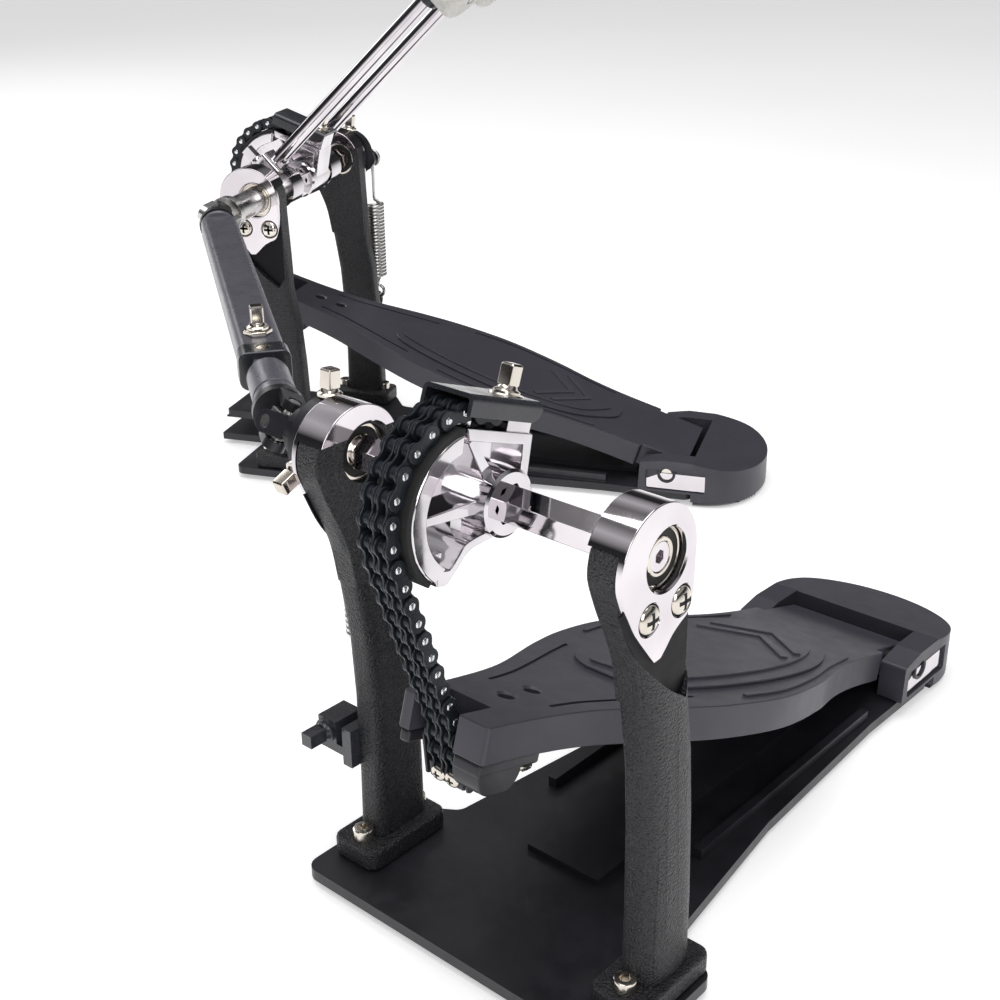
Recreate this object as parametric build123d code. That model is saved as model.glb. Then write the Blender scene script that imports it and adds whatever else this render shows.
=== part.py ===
from build123d import *
from math import asin, atan2, cos, degrees, hypot, radians, sin, sqrt, tan
import os

# Twin bass drum pedal.  Units are millimetres, +Z is up.
# The origin is on the floor under the middle of the right-hand pedal's axle.
# +X is the drummer's right and +Y points at the drum.  Each pedal is drawn in the same
# pedal frame, and the left-hand one is then turned and moved to the end of the drive shaft.

# ---------------------------------------------------------------- driving dimensions
AXLE_HEIGHT = 185.0        # axle centre above the floor
POST_X = 66.0              # post centre from the middle of the pedal
POST_T = 11.0              # thickness of a post's head across the pedal
HEAD_R = 17.4              # radius of a post's round head
HEAD_Y = 4.0               # its centre, in front of the axle
CAP_R = 19.6               # outside radius of the polished cap
CAP_LOW = 8.5              # lower edge of the cap's band, above the axle
PAD_T = 3.0                # rubber under the base plate
BASE_TOP = 8.0             # top of the steel base plate
FOOT_Y = -9.0              # posts lean forward, so their feet are behind the axle
HEX = 12.7                 # axle, across flats
JOURNAL_R = 5.0            # turned ends of the axle
BEARING_R = 11.0           # ball bearing, outside radius
RUN = 0.05                 # radial clearance of a running fit

HINGE_Y = -257.0           # heel hinge
HINGE_Z = 20.0
PIN_R = 4.0
TOE_Y = 24.0               # front edge of the footboard's top face
TOE_Z = 114.0
BOARD_UP = 7.0             # footboard top above the hinge line, square to the board
BOARD_T = 14.0
BOARD_WALL = 4.0
HEEL_W = 92.0              # heel plate, across the pedal
HEEL_END = -314.0           # rearmost point of the heel plate

PITCH = 8.0                # duplex roller chain
CHAIN_R = 32.5             # radius of the chain's pins round the cam
ROLLER_R = 2.5
CHAIN_PIN_R = 1.15
PLATE_H = 3.5              # half height of a chain plate
CHAIN_LEAN = 19.5         # hanging run, from the vertical
WRAPPED = 8                # links from the clamp's edge to where the chain leaves the cam
HANGING = 9                # links from there to the toe
RUNS = (0, 4, 7, 9)        # first pin of each run of links that keeps its shape
CAM_R = 27.6
CAM_W = 19.0
CAM_X = 4.0                # cam and chain, off the middle of the pedal
CAM_Y, CAM_Z = 15.5, 2.0   # centre of the cam's curve, off the axle's centre
CLAMP_FALL = 20.0          # slope of the chain clamp, down towards the drummer

KEY_HEAD = 5.6             # square drum-key head, across flats
SPRING_X = 84.0            # spring and its lever, outboard of the right-hand post
LEVER_ARM = 16.0
SPRING_LOW_Z = 84.0        # eye of the tension adjuster
SPRING_R = 7.0
LUG_X = 70.6               # seat of the spring adjuster on the right-hand post
LUG_Z = 60.0
TAB_SCREW = 28.5           # screws of the toe bracket, behind the board's front edge
ANCHOR = 25.5              # chain screws, below the chain's last moving pin
ANCHOR_LEAN = 8.0          # chain below that pin, from the vertical

JOINT_X = {"left": 104.0, "right": 124.0}    # universal joint centre from a pedal's middle
LINK_LENGTH = 343.0        # between the two universal joint centres
LEFT_BEND = 34.4           # drive shaft off the left pedal's axle
RIGHT_BEND = 31.1          # drive shaft off the right pedal's axle
AXLE_TRAVEL = 50.0         # axle turn from rest to the end of the stroke

BEATER_LEAN = 46.0         # rod behind the vertical at rest
ROD_R = 4.75
ROD_OFFSET = 13.0
BEATER_X = {"right": 29.0, "left": -33.0}

TRUNNION_R = 2.6           # cross pin in an axle's fork
SHAFT_TRUNNION_R = 2.2     # cross pin in the drive shaft's fork
TUBE_START, TUBE_END = 66.0, 320.0    # drive tube, from the left-hand joint's centre
TUBE_W, TUBE_H = 20.0, 15.0
BAR = 10.0                 # square bar that slides in the tube

JAW_Z = 16.0               # hoop clamp: hinge pin of the jaw
CLAMP_X, CLAMP_Y = 20.0, 26.0         # and its bolt
HOOP_GAP = 12.0

H = AXLE_HEIGHT
SPLAY = LEFT_BEND + RIGHT_BEND
link_dir = Vector(cos(radians(RIGHT_BEND)), sin(radians(RIGHT_BEND)), 0)
right_joint = Vector(-JOINT_X["right"], 0, H)
left_joint = right_joint - link_dir * LINK_LENGTH
left_axis = Vector(cos(radians(SPLAY)), sin(radians(SPLAY)), 0)
left_origin = left_joint - left_axis * JOINT_X["left"]
PLACES = {
    "right": Location((0, 0, 0)),
    "left": Location((left_origin.X, left_origin.Y, 0), (0, 0, SPLAY)),
}

os.makedirs("parts", exist_ok=True)


# ---------------------------------------------------------------- helpers
def block(x0, x1, y0, y1, z0, z1):
    return Pos((x0 + x1) / 2, (y0 + y1) / 2, (z0 + z1) / 2) * Box(x1 - x0, y1 - y0, z1 - z0)


def rod(start, end, radius, end_radius=None):
    start, end = Vector(*start), Vector(*end)
    reach = end - start
    low = (Align.CENTER, Align.CENTER, Align.MIN)
    if end_radius is None:
        shape = Cylinder(radius, reach.length, align=low)
    else:
        shape = Cone(radius, end_radius, reach.length, align=low)
    return Plane(origin=start, z_dir=reach) * shape


def prism(start, end, flats, sides):
    """Bar with a regular polygon section, given across its flats."""
    start, end = Vector(*start), Vector(*end)
    reach = end - start
    turn = 45 if sides == 4 else 0
    section = RegularPolygon(flats / 2, sides, major_radius=False, rotation=turn)
    if abs(reach.Z) < abs(reach.X) + abs(reach.Y):
        plane = Plane(origin=start, x_dir=(0, 0, 1), z_dir=reach)
    else:
        plane = Plane(origin=start, x_dir=(1, 0, 0), z_dir=reach)
    return extrude(plane * section, reach.length)


def outline(points, radius=0.0):
    face = make_face(Polyline(*points, close=True))
    return fillet(face.vertices(), radius) if radius else face


def across(face, x0, x1):
    """Extrude a face drawn in (y, z) across the pedal, from x0 to x1."""
    return extrude(Plane.YZ.offset(x0) * face, x1 - x0)


def on_axle(x, y, z):
    """Point given from the axle's centre line."""
    return (x, y, H + z)


def polar(angle, radius):
    return radius * cos(radians(angle)), radius * sin(radians(angle))


def solids(*shapes):
    found = []
    for shape in shapes:
        found.extend(shape.solids())
    return Compound(found)


def save(node, shape, side="right"):
    export_step(PLACES[side] * shape, "parts/" + node + ".step")


def key_bolt(seat, toward, length, shank_r=3.0, flange_r=5.0):
    """Square-headed drum-key bolt.  Its flange sits at seat, with the head along toward."""
    seat, toward = Vector(*seat), Vector(*toward).normalized()
    flange = rod(seat, seat + toward * 1.6, flange_r)
    neck = rod(seat + toward * 1.6, seat + toward * 3.2, flange_r - 0.9, flange_r - 1.7)
    head = prism(seat + toward * 3.0, seat + toward * 11.2, KEY_HEAD, 4)
    shank = rod(seat - toward * length, seat, shank_r)
    return flange + neck + head + shank


# ---------------------------------------------------------------- frame of a pedal
def base_plate(side):
    half = [(80, 26), (80, -27), (57, -42), (47, -120), (43, -215), (44, HINGE_Y - 16)]
    plan = outline(half + [(-x, y) for x, y in reversed(half)], 6)
    plate = extrude(Pos(0, 0, PAD_T) * plan, BASE_TOP - PAD_T)
    plate += block(-18, 18, HINGE_Y + 24, -40, BASE_TOP, BASE_TOP + 3)
    for x in (-38, 38):
        plate += block(x - 2, x + 2, HINGE_Y + 40, -80, BASE_TOP, BASE_TOP + 5)
    for x in (-POST_X, POST_X):
        for y in (FOOT_Y - 15, FOOT_Y + 15):
            plate -= rod((x, y, 0), (x, y, BASE_TOP + 1), 2.52)
    if side == "right":
        plate += block(-26, 26, 20, 62, PAD_T, BASE_TOP)
        for x in (-29, 29):
            lug = across(outline([(-7, BASE_TOP - 1), (11, BASE_TOP - 1), (7, 22), (-3, 22)], 2.5),
                         x - 3, x + 3)
            plate += lug
        plate -= rod((-40, 2, JAW_Z), (40, 2, JAW_Z), 2.53)
        plate -= rod((CLAMP_X, CLAMP_Y, 0), (CLAMP_X, CLAMP_Y, 20), 4.0 + RUN)
    return plate


def base_pads():
    front = block(-74, 74, -22, 20, 0, PAD_T)
    middle = block(-30, 30, -200, -100, 0, PAD_T)
    heel = block(-32, 32, HEEL_END + 12, HINGE_Y + 14, 0, PAD_T)
    return solids(front, middle, heel)


def post_head():
    """Outline in (y, z) of the head and neck: narrower at the top, where the cap goes over it."""
    whole = Pos(HEAD_Y, H) * Circle(CAP_R) - Pos(HEAD_Y, H + CAP_LOW + 29.9) * Rectangle(60, 60)
    neck = outline([(HEAD_Y - CAP_R, H), (HEAD_Y + CAP_R, H), (18.0, H - 15), (9.6, H - 35), (6.4, H - 52),
                    (-17, H - 52), (-16.6, H - 26)])
    return Pos(HEAD_Y, H) * Circle(HEAD_R) + whole + neck


def post(out):
    """Cast post whose outboard face looks along out (+1 or -1)."""
    x = out * POST_X
    inner, outer = x - out * 6.5, x + out * (POST_T - 6.5)
    head = across(post_head(), min(inner, outer), max(inner, outer))
    low = Plane(origin=(x, FOOT_Y - 2, BASE_TOP + 8)) * RectangleRounded(15, 26, 5)
    mid = Plane(origin=(x + out * 0.5, -9.4, H - 75)) * RectangleRounded(14, 24.6, 6)
    high = Plane(origin=(x - out * 1.0, -5.4, H - 44)) * RectangleRounded(11, 23.4, 3.5)
    column = loft([low, mid, high])
    foot = extrude(Plane(origin=(x, FOOT_Y, BASE_TOP)) * RectangleRounded(24, 44, 5), 9)
    body = head + column + foot
    body -= rod(on_axle(inner - out * 2, 0, 0), on_axle(outer + out * 2, 0, 0), BEARING_R)
    if out > 0:
        body -= block(LUG_X, LUG_X + 6, -19.9, 5.9, LUG_Z - 12, LUG_Z + 5)
    for y in (8.5, -8.5):
        body -= rod(on_axle(outer - out * 6, y, -17.5), on_axle(outer + out * 2, y, -17.5), 2.02)
    for y in (FOOT_Y - 15, FOOT_Y + 15):
        body -= rod((x, y, BASE_TOP - 1), (x, y, BASE_TOP + 12), 2.52)
        body -= rod((x, y, BASE_TOP + 9), (x, y, BASE_TOP + 20), 4.6)
    return body


def post_cap(out):
    """Polished hood over a post's head, with a pointed shield down the outboard face."""
    x = out * POST_X
    inner, face, skin = x - out * 6.5, x + out * (POST_T - 6.5), x + out * (POST_T - 4.2)
    hood_outline = Pos(HEAD_Y, H) * Circle(CAP_R) - Pos(HEAD_Y, H) * Circle(HEAD_R + 0.05)
    hood_outline -= Pos(HEAD_Y, H + CAP_LOW - 30) * Rectangle(60, 60)
    hood = across(hood_outline, min(inner, skin), max(inner, skin))
    shield_outline = Pos(HEAD_Y, H) * Circle(CAP_R)
    shield_outline += outline([(HEAD_Y - CAP_R, H), (-15.4, H - 18), (-12, H - 24), (-4, H - 28),
                               (3.4, H - 36), (6.6, H - 36), (13, H - 25), (20, H - 12),
                               (HEAD_Y + CAP_R, H)])
    shield = across(shield_outline, min(face, skin), max(face, skin))
    cap = hood + shield
    cap -= rod(on_axle(face - out, 0, 0), on_axle(skin + out, 0, 0), 10.4)
    for y in (8.5, -8.5):
        cap -= rod(on_axle(face - out, y, -17.5), on_axle(skin + out, y, -17.5), 2.3)
    return cap


def frame_fasteners():
    """The heel's hinge pin, two pan-head screws in each cap and two bolts in each post's foot."""
    reach = HEEL_W / 2 - 1.8
    found = [rod((-reach, HINGE_Y, HINGE_Z), (reach, HINGE_Y, HINGE_Z), PIN_R)]
    for out in (-1, 1):
        face = out * (POST_X + POST_T - 4.2)
        for y in (8.5, -8.5):
            shank = rod(on_axle(face - out * 7, y, -17.5), on_axle(face, y, -17.5), 2.0)
            head = rod(on_axle(face, y, -17.5), on_axle(face + out * 2.2, y, -17.5), 5.0, 3.4)
            slot = block(-6, 6, -0.5, 0.5, -2.4, 2.4) + block(-6, 6, -2.4, 2.4, -0.5, 0.5)
            found.append(shank + head - Pos(*on_axle(face + out * 7.4, y, -17.5)) * slot)
        for y in (FOOT_Y - 15, FOOT_Y + 15):
            x = out * POST_X
            found.append(rod((x, y, PAD_T + 0.5), (x, y, BASE_TOP + 9), 2.5)
                         + rod((x, y, BASE_TOP + 9), (x, y, BASE_TOP + 14), 4.4)
                         - prism((x, y, BASE_TOP + 11), (x, y, BASE_TOP + 15), 4.0, 6))
    return solids(*found)


def bearing(out, bore):
    x = out * POST_X
    ring = rod(on_axle(x - 4, 0, 0), on_axle(x + 4, 0, 0), BEARING_R - 0.02)
    ring -= rod(on_axle(x - 5, 0, 0), on_axle(x + 5, 0, 0), bore + RUN)
    groove = (BEARING_R + bore) / 2
    for face in (x - 4, x + 4):
        cut = rod(on_axle(face - 0.6, 0, 0), on_axle(face + 0.6, 0, 0), groove + 1.0)
        cut -= rod(on_axle(face - 1, 0, 0), on_axle(face + 1, 0, 0), groove - 1.0)
        ring -= cut
    return ring


def heel_plate():
    """Heel rest with a rounded rear end and an ear at each side for the hinge pin."""
    half = HEEL_W / 2
    front = HINGE_Y - 16
    rear = [(half, front), (half - 0.4, front - 12), (half - 4.5, front - 23),
            (half - 14, front - 32), (16, HEEL_END + 2), (0, HEEL_END)]
    curve = Spline(*(rear + [(-x, y) for x, y in reversed(rear[:-1])]))
    plan = make_face([curve, Line((-half, front), (half, front))])
    profile = outline([(front, PAD_T), (HEEL_END - 1, PAD_T), (HEEL_END - 1, 21.5),
                       (front, HINGE_Z + 9)])
    body = extrude(plan, 40) & across(profile, -60, 60)
    for x in (-1, 1):
        inside, outside = x * (half - 13), x * half
        ear = outline([(front - 2, BASE_TOP), (front - 2, HINGE_Z + 9), (HINGE_Y + 2, HINGE_Z + 9.5),
                       (HINGE_Y + 17, HINGE_Z + 7), (HINGE_Y + 18, BASE_TOP)], 1.5)
        body += across(ear, min(inside, outside), max(inside, outside))
        recess = outline([(HINGE_Y - 25, BASE_TOP + 1.5), (HINGE_Y - 25, HINGE_Z + 3),
                          (HINGE_Y + 13, HINGE_Z + 3), (HINGE_Y + 13, BASE_TOP + 1.5)], 1.5)
        faces = x * (half - 1.6), x * (half + 2)
        body -= across(recess, min(faces), max(faces))
    body -= rod((-60, HINGE_Y, HINGE_Z), (60, HINGE_Y, HINGE_Z), PIN_R + 0.02)
    return body


def spring_adjuster():
    """Swivel tensioner bolted to the right-hand post: lug, block, threaded eye and nut."""
    z, y = LUG_Z, -LEVER_ARM
    lug = block(LUG_X, SPRING_X + 9, -19.9, 5.9, z - 8, z - 4)
    web = block(LUG_X, LUG_X + 5, -19.9, 5.9, z - 12, z + 5)
    arm = block(SPRING_X - 9, SPRING_X + 9, y - 8, -10, z - 8, z - 4)
    bracket = lug + web + arm
    bracket -= rod((SPRING_X, y, z - 20), (SPRING_X, y, z + 20), 3.02)
    bracket -= rod((SPRING_X, -2, z - 20), (SPRING_X, -2, z + 20), 2.52)
    stud = rod((SPRING_X, y, z - 24), (SPRING_X, y, SPRING_LOW_Z - 9), 3.0)
    ring = Pos(SPRING_X, y, SPRING_LOW_Z - 4.6) * (Rot(90, 0, 0) * Torus(4.6, 1.4))
    nut = prism((SPRING_X, y, z - 14), (SPRING_X, y, z - 8.1), 12.0, 6)
    nut += rod((SPRING_X, y, z - 18), (SPRING_X, y, z - 14), 8.0)
    eye = stud + ring + nut
    clamp = block(SPRING_X - 5, SPRING_X + 5, -8, 6, z - 3.9, z + 6)
    clamp -= rod((SPRING_X, 0, z + 1), (SPRING_X, 10, z + 1), 3.02)
    bolt = key_bolt((SPRING_X, 6, z + 1), (0, 1, 0), 6)
    return solids(bracket, eye, clamp, bolt)


# ---------------------------------------------------------------- footboard
board_tilt = degrees(atan2(TOE_Z - HINGE_Z, TOE_Y - HINGE_Y)
                     - asin(BOARD_UP / hypot(TOE_Z - HINGE_Z, TOE_Y - HINGE_Y)))
board_place = Location((0, HINGE_Y, HINGE_Z), (board_tilt, 0, 0))
board_length = sqrt(hypot(TOE_Z - HINGE_Z, TOE_Y - HINGE_Y) ** 2 - BOARD_UP ** 2)


def on_board(y, z):
    """Turn a point in (y, z) of the pedal into (along, above) of the footboard."""
    along, above = y - HINGE_Y, z - HINGE_Z
    tilt = radians(board_tilt)
    return along * cos(tilt) + above * sin(tilt), above * cos(tilt) - along * sin(tilt)


BOARD_EDGE = [(20, board_length), (21, 268), (25.5, 238), (38, 201), (45.5, 172), (49, 138),
              (45, 102), (38.5, 74), (35.5, 50), (35, 22)]


def board_outline():
    """Plan of the footboard: narrow toe, waist, broad middle, hinge tongue at the heel."""
    right = Spline(*BOARD_EDGE)
    left = Spline(*[(-x, y) for x, y in BOARD_EDGE])
    rear = Polyline((35, 22), (31, 22), (31, -9), (-31, -9), (-31, 22), (-35, 22))
    front = Line((-20, board_length), (20, board_length))
    return make_face([right, left, rear, front])


def board_half_width(along):
    """Half width of the footboard, taken straight between the points of its edge."""
    for (x1, y1), (x0, y0) in zip(BOARD_EDGE, BOARD_EDGE[1:]):
        if y0 <= along <= y1:
            return x0 + (x1 - x0) * (along - y0) / (y1 - y0)
    return BOARD_EDGE[-1][0]


def footboard():
    """Cast board, hollow underneath between its ribs."""
    body = extrude(Pos(0, 0, BOARD_UP - BOARD_T) * board_outline(), BOARD_T)
    for number in range(5):
        y0 = 38 + number * 38
        y1 = min(y0 + 34, 224)
        x0, x1 = board_half_width(y0) - BOARD_WALL, board_half_width(y1) - BOARD_WALL
        for side in (-1, 1):
            cell = outline([(side * 2, y0), (side * x0, y0), (side * x1, y1), (side * 2, y1)], 1.5)
            body -= extrude(Pos(0, 0, BOARD_UP - BOARD_T - 1) * cell, BOARD_T - 3)
    body -= block(CAM_X - 10.5, CAM_X + 10.5, board_length - 17, board_length + 5, -20, 20)
    for y in (board_length - 33, board_length - 48):
        body -= rod((0, y, -20), (0, y, 20), 3.3)
    for x in (-15.2, 15.2):
        body -= rod((x, board_length - TAB_SCREW, -20), (x, board_length - TAB_SCREW, 2), 2.02)
    body -= rod((-60, 0, 0), (60, 0, 0), PIN_R + RUN)
    return board_place * body


def on_anchor(down, forward):
    """Point of the board, down along the fixed end of the chain from its last moving pin."""
    lean = radians(ANCHOR_LEAN + board_tilt)
    return (CLEVIS[0] - down * sin(lean) + forward * cos(lean),
            CLEVIS[1] - down * cos(lean) - forward * sin(lean))


def toe_bracket():
    """Block under the toe with a slot for the chain, whose last links are screwed between two ears."""
    low, end = BOARD_UP - BOARD_T, board_length
    tab = block(-19, 19, end - 34, end - 0.5, low - 5, low)
    body = fillet(tab.edges().filter_by(Axis.Z), 3)
    cheek = outline([(end - 24, low - 2), (end - 0.6, low - 2), (end - 1.5, low - 8), (end - 6, low - 13),
                     (end - 20, low - 13), (end - 24, low - 9)], 1.8)
    body -= block(CAM_X - 10.4, CAM_X + 10.4, end - 24, end, low - 20, low + 1)
    body += across(cheek, -18.9, CAM_X - 10.4)
    ear = outline([on_anchor(-3.8, -3.8), on_anchor(-3.8, 3.8), on_anchor(ANCHOR + 4, 3.0),
                   on_anchor(ANCHOR + 4, -4.4), on_anchor(9, -6)], 1.5)
    for x in (CAM_X - 10.45, CAM_X + 9.2):
        body += across(ear, x, x + 1.25)
    for x in (CAM_X - 9.3, CAM_X + 7.8):
        body += rod((x, *CLEVIS), (x + 1.5, *CLEVIS), 2.4)
    last_links = outline([on_anchor(4.6, -2.8), on_anchor(4.6, 2.8), on_anchor(ANCHOR + 4, 2.8),
                          on_anchor(ANCHOR + 4, -2.8)], 1.0)
    body += across(last_links, CAM_X - 9.3, CAM_X + 9.3)
    for x in (-15.2, 15.2):
        body -= rod((x, end - TAB_SCREW, low - 20), (x, end - TAB_SCREW, low + 5), 2.3)
    for x in (CAM_X - 3.8, CAM_X + 3.8):
        body -= rod((x, *on_anchor(ANCHOR, -2.0)), (x, *on_anchor(ANCHOR, 6)), 1.52)
        body -= rod((x, *on_anchor(ANCHOR, 1.6)), (x, *on_anchor(ANCHOR, 2.82)), 1.8, 3.2)
    return board_place * body


def toe_screws():
    low, end = BOARD_UP - BOARD_T, board_length
    found = []
    for x in (-15.2, 15.2):
        found.append(rod((x, end - TAB_SCREW, low - 6), (x, end - TAB_SCREW, 1), 2.0)
                     + rod((x, end - TAB_SCREW, low - 7.4), (x, end - TAB_SCREW, low - 5.02), 3.4, 4.2))
    slots = Box(3.6, 1.4, 0.7) + Box(0.7, 1.4, 3.6)
    for x in (CAM_X - 3.8, CAM_X + 3.8):
        shank = rod((x, *on_anchor(ANCHOR, -1.9)), (x, *on_anchor(ANCHOR, 1.8)), 1.5)
        head = rod((x, *on_anchor(ANCHOR, 1.7)), (x, *on_anchor(ANCHOR, 3.0)), 1.7, 3.0)
        cross = Pos(x, *on_anchor(ANCHOR, 3.2)) * (Rot(-ANCHOR_LEAN - board_tilt, 0, 0) * slots)
        found.append(shank + head - cross)
    return board_place * solids(*found)


# ---------------------------------------------------------------- axle and cam
def axle(side):
    face = POST_X - 6.8
    if side == "left":
        body = prism(on_axle(-face, 0, 0), on_axle(face, 0, 0), HEX, 6)
        body += rod(on_axle(-face - 10.5, 0, 0), on_axle(-face, 0, 0), JOURNAL_R)
        body += rod(on_axle(face, 0, 0), on_axle(JOINT_X["left"] - 8, 0, 0), JOURNAL_R)
        body -= prism(on_axle(-face - 11, 0, 0), on_axle(-face - 6, 0, 0), 4.0, 6)
        return body
    body = prism(on_axle(-20, 0, 0), on_axle(face, 0, 0), HEX, 6)
    body += rod(on_axle(-58, 0, 0), on_axle(-20, 0, 0), 4.0)
    body += rod(on_axle(face, 0, 0), on_axle(SPRING_X + 3.0, 0, 0), JOURNAL_R)
    return body


def on_curve(angle, radius):
    """Point in (y, z) from the axle, at an angle and radius about the cam curve's centre."""
    y, z = polar(angle, radius)
    return y + CAM_Y, z + CAM_Z


# The clamp sits on a flat that falls away behind the first wrapped pin.
CHAIN_STEP = degrees(2 * asin(PITCH / 2 / CHAIN_R))
first_angle = WRAPPED * CHAIN_STEP - CHAIN_LEAN
first_y, first_z = on_curve(first_angle, CHAIN_R)


def clamp_point(back, up):
    """Point in (y, z) from the axle: back along the clamp's flat, and up square to it."""
    fall = radians(CLAMP_FALL)
    return (first_y - back * cos(fall) - up * sin(fall), first_z - back * sin(fall) + up * cos(fall))


def lift(points):
    return [(y, H + z) for y, z in points]


def cam():
    """Die-cast cam: a curved rim, a flat for the clamp, webs and a hub with its grub screw boss."""
    limits = outline([clamp_point(-40, -4.3), clamp_point(33, -4.3), (-12, 1), (-10, -9),
                      (4, -12.5), (17.8, -11.5), (21.6, -17), (27.5, -20.8), (33, -22.5), (60, -26)])
    outer = Pos(CAM_Y, CAM_Z) * Circle(CAM_R) & limits
    outer = Pos(0, H) * outer
    core = across(outer, -2.5, 2.5)
    border = outer - offset(outer, -5.0)
    body = core + across(border, -CAM_W / 2, CAM_W / 2)
    body += rod(on_axle(-13, 0, 0), on_axle(13, 0, 0), 12.5)
    for angle, length in ((62, 32.0), (8, 41.0)):
        y0, z0 = polar(angle, 8)
        y1, z1 = polar(angle, length)
        side_y, side_z = polar(angle + 90, 1.5)
        web = outline(lift([(y0 - side_y, z0 - side_z), (y1 - side_y, z1 - side_z),
                            (y1 + side_y, z1 + side_z), (y0 + side_y, z0 + side_z)]))
        body += across(web, -CAM_W / 2, CAM_W / 2)
    # through window between the lower web and the nose
    a, b, c, d = polar(-2, 36), polar(2, 17), polar(-36, 18), polar(-22, 32)
    body -= across(outline(lift([a, b, c, d]), 2.5), -4, 4)
    # raised seat that holds the clamp level with the chain
    seat = outline(lift([clamp_point(20.5, -5), clamp_point(33, -5), clamp_point(33, 4.6),
                         clamp_point(20.5, 4.6)]))
    body += across(seat, -8.2, 8.2)
    bolt_y, bolt_z = clamp_point(26, 0)
    along = (0, -sin(radians(CLAMP_FALL)), cos(radians(CLAMP_FALL)))
    start = Vector(0, bolt_y, H + bolt_z)
    body -= rod(start - Vector(*along) * 9, start + Vector(*along) * 20, 3.02)
    body -= prism(on_axle(-20, 0, 0), on_axle(20, 0, 0), HEX + 0.04, 6)
    body -= rod(on_axle(11, 0, 0), on_axle(11, -20, 0), 2.52)
    return Pos(CAM_X, 0, 0) * body


def chain_clamp():
    """Folded strip over the end of the chain."""
    top = [clamp_point(-3, 4.7), clamp_point(33.5, 4.7), clamp_point(33.5, 6.7), clamp_point(-3, 6.7)]
    body = across(outline(lift(top)), -11, 11)
    for x in (-11, 9.4):
        flange = [clamp_point(-3, -0.5), clamp_point(33.5, -0.5), clamp_point(33.5, 6.7),
                  clamp_point(-3, 6.7)]
        body += across(outline(lift(flange)), x, x + 1.6)
    bolt_y, bolt_z = clamp_point(26, 0)
    along = Vector(0, -sin(radians(CLAMP_FALL)), cos(radians(CLAMP_FALL)))
    start = Vector(0, bolt_y, H + bolt_z)
    body -= rod(start, start + along * 20, 3.1)
    return Pos(CAM_X, 0, 0) * body


def lever_bolt(angle):
    y, z = polar(angle, 17.0)
    return key_bolt(on_axle(SPRING_X - 4.9, y, z), (0, y, z), 10.5, flange_r=4.0)


def key_bolts(side):
    """Drum-key bolts that turn with the axle: cam clamp, spring lever, and the beater hub."""
    bolt_y, bolt_z = clamp_point(26, 6.75)
    along = (0, -sin(radians(CLAMP_FALL)), cos(radians(CLAMP_FALL)))
    found = [key_bolt(on_axle(CAM_X, bolt_y, bolt_z), along, 13)]
    found += [lever_bolt(96), lever_bolt(-24)]
    found.append(rod(on_axle(CAM_X + 11, -7.0, 0), on_axle(CAM_X + 11, -12.0, 0), 2.5))
    if side == "right":
        found.append(hub_bolt(BEATER_X["right"]))
    return solids(*found)


def spring_lever():
    """Round hub on the axle's outboard end with an arm that pulls the spring."""
    x = SPRING_X - 4
    body = rod(on_axle(x - 4.2, 0, 0), on_axle(x + 2.4, 0, 0), 17.0)
    arm = outline(lift([(-8, 12), (-LEVER_ARM - 3, 3), (-LEVER_ARM - 5, -4), (-LEVER_ARM - 1, -9),
                        (-8, -14)]), 2.5)
    body += across(arm, x - 4.2, x - 0.2)
    body += rod(on_axle(x - 3, *lever_eye), on_axle(SPRING_X + 4.5, *lever_eye), 1.7)
    body += rod(on_axle(SPRING_X + 3.2, *lever_eye), on_axle(SPRING_X + 4.5, *lever_eye), 3.4)
    for angle in (96, -24):
        y, z = polar(angle, 25)
        body -= rod(on_axle(x - 0.9, 0, 0), on_axle(x - 0.9, y, z), 3.02)
    body -= rod(on_axle(x - 10, 0, 0), on_axle(x + 10, 0, 0), JOURNAL_R + 0.02)
    return body


lever_eye = polar(190, LEVER_ARM)


# ---------------------------------------------------------------- chain
def chain_pins():
    """Pin centres in (y, z) from the axle: flat under the clamp, round the cam, then hanging."""
    pins = [clamp_point(PITCH * k, 0) for k in (2, 1)]
    pins += [on_curve(first_angle - k * CHAIN_STEP, CHAIN_R) for k in range(WRAPPED + 1)]
    y, z = pins[-1]
    down_y, down_z = polar(-90 - CHAIN_LEAN, PITCH)
    pins += [(y + k * down_y, z + k * down_z) for k in range(1, HANGING + 1)]
    return pins


last_y, last_z = chain_pins()[-1]
CLEVIS = on_board(last_y, H + last_z)


def chain_plate(a, b, x, thick, half):
    """Figure-of-eight plate between two pins, waisted in the middle."""
    reach = hypot(b[0] - a[0], b[1] - a[1])
    bar = Pos(reach / 2, 0) * Rectangle(reach, half * 1.45)
    shape = bar + Circle(half) + Pos(reach, 0) * Circle(half)
    turn = degrees(atan2(b[1] - a[1], b[0] - a[0]))
    face = Pos(a[0], H + a[1]) * (Rot(0, 0, turn) * shape)
    return across(face, x - thick / 2, x + thick / 2)


def chain_link(a, b, outer):
    if outer:
        plates = [chain_plate(a, b, x, 0.9, PLATE_H - 0.1) for x in (-6.3, 0, 6.3)]
    else:
        plates = [chain_plate(a, b, x, 0.9, PLATE_H) for x in (-5.2, -1.1, 1.1, 5.2)]
    return plates


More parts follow.
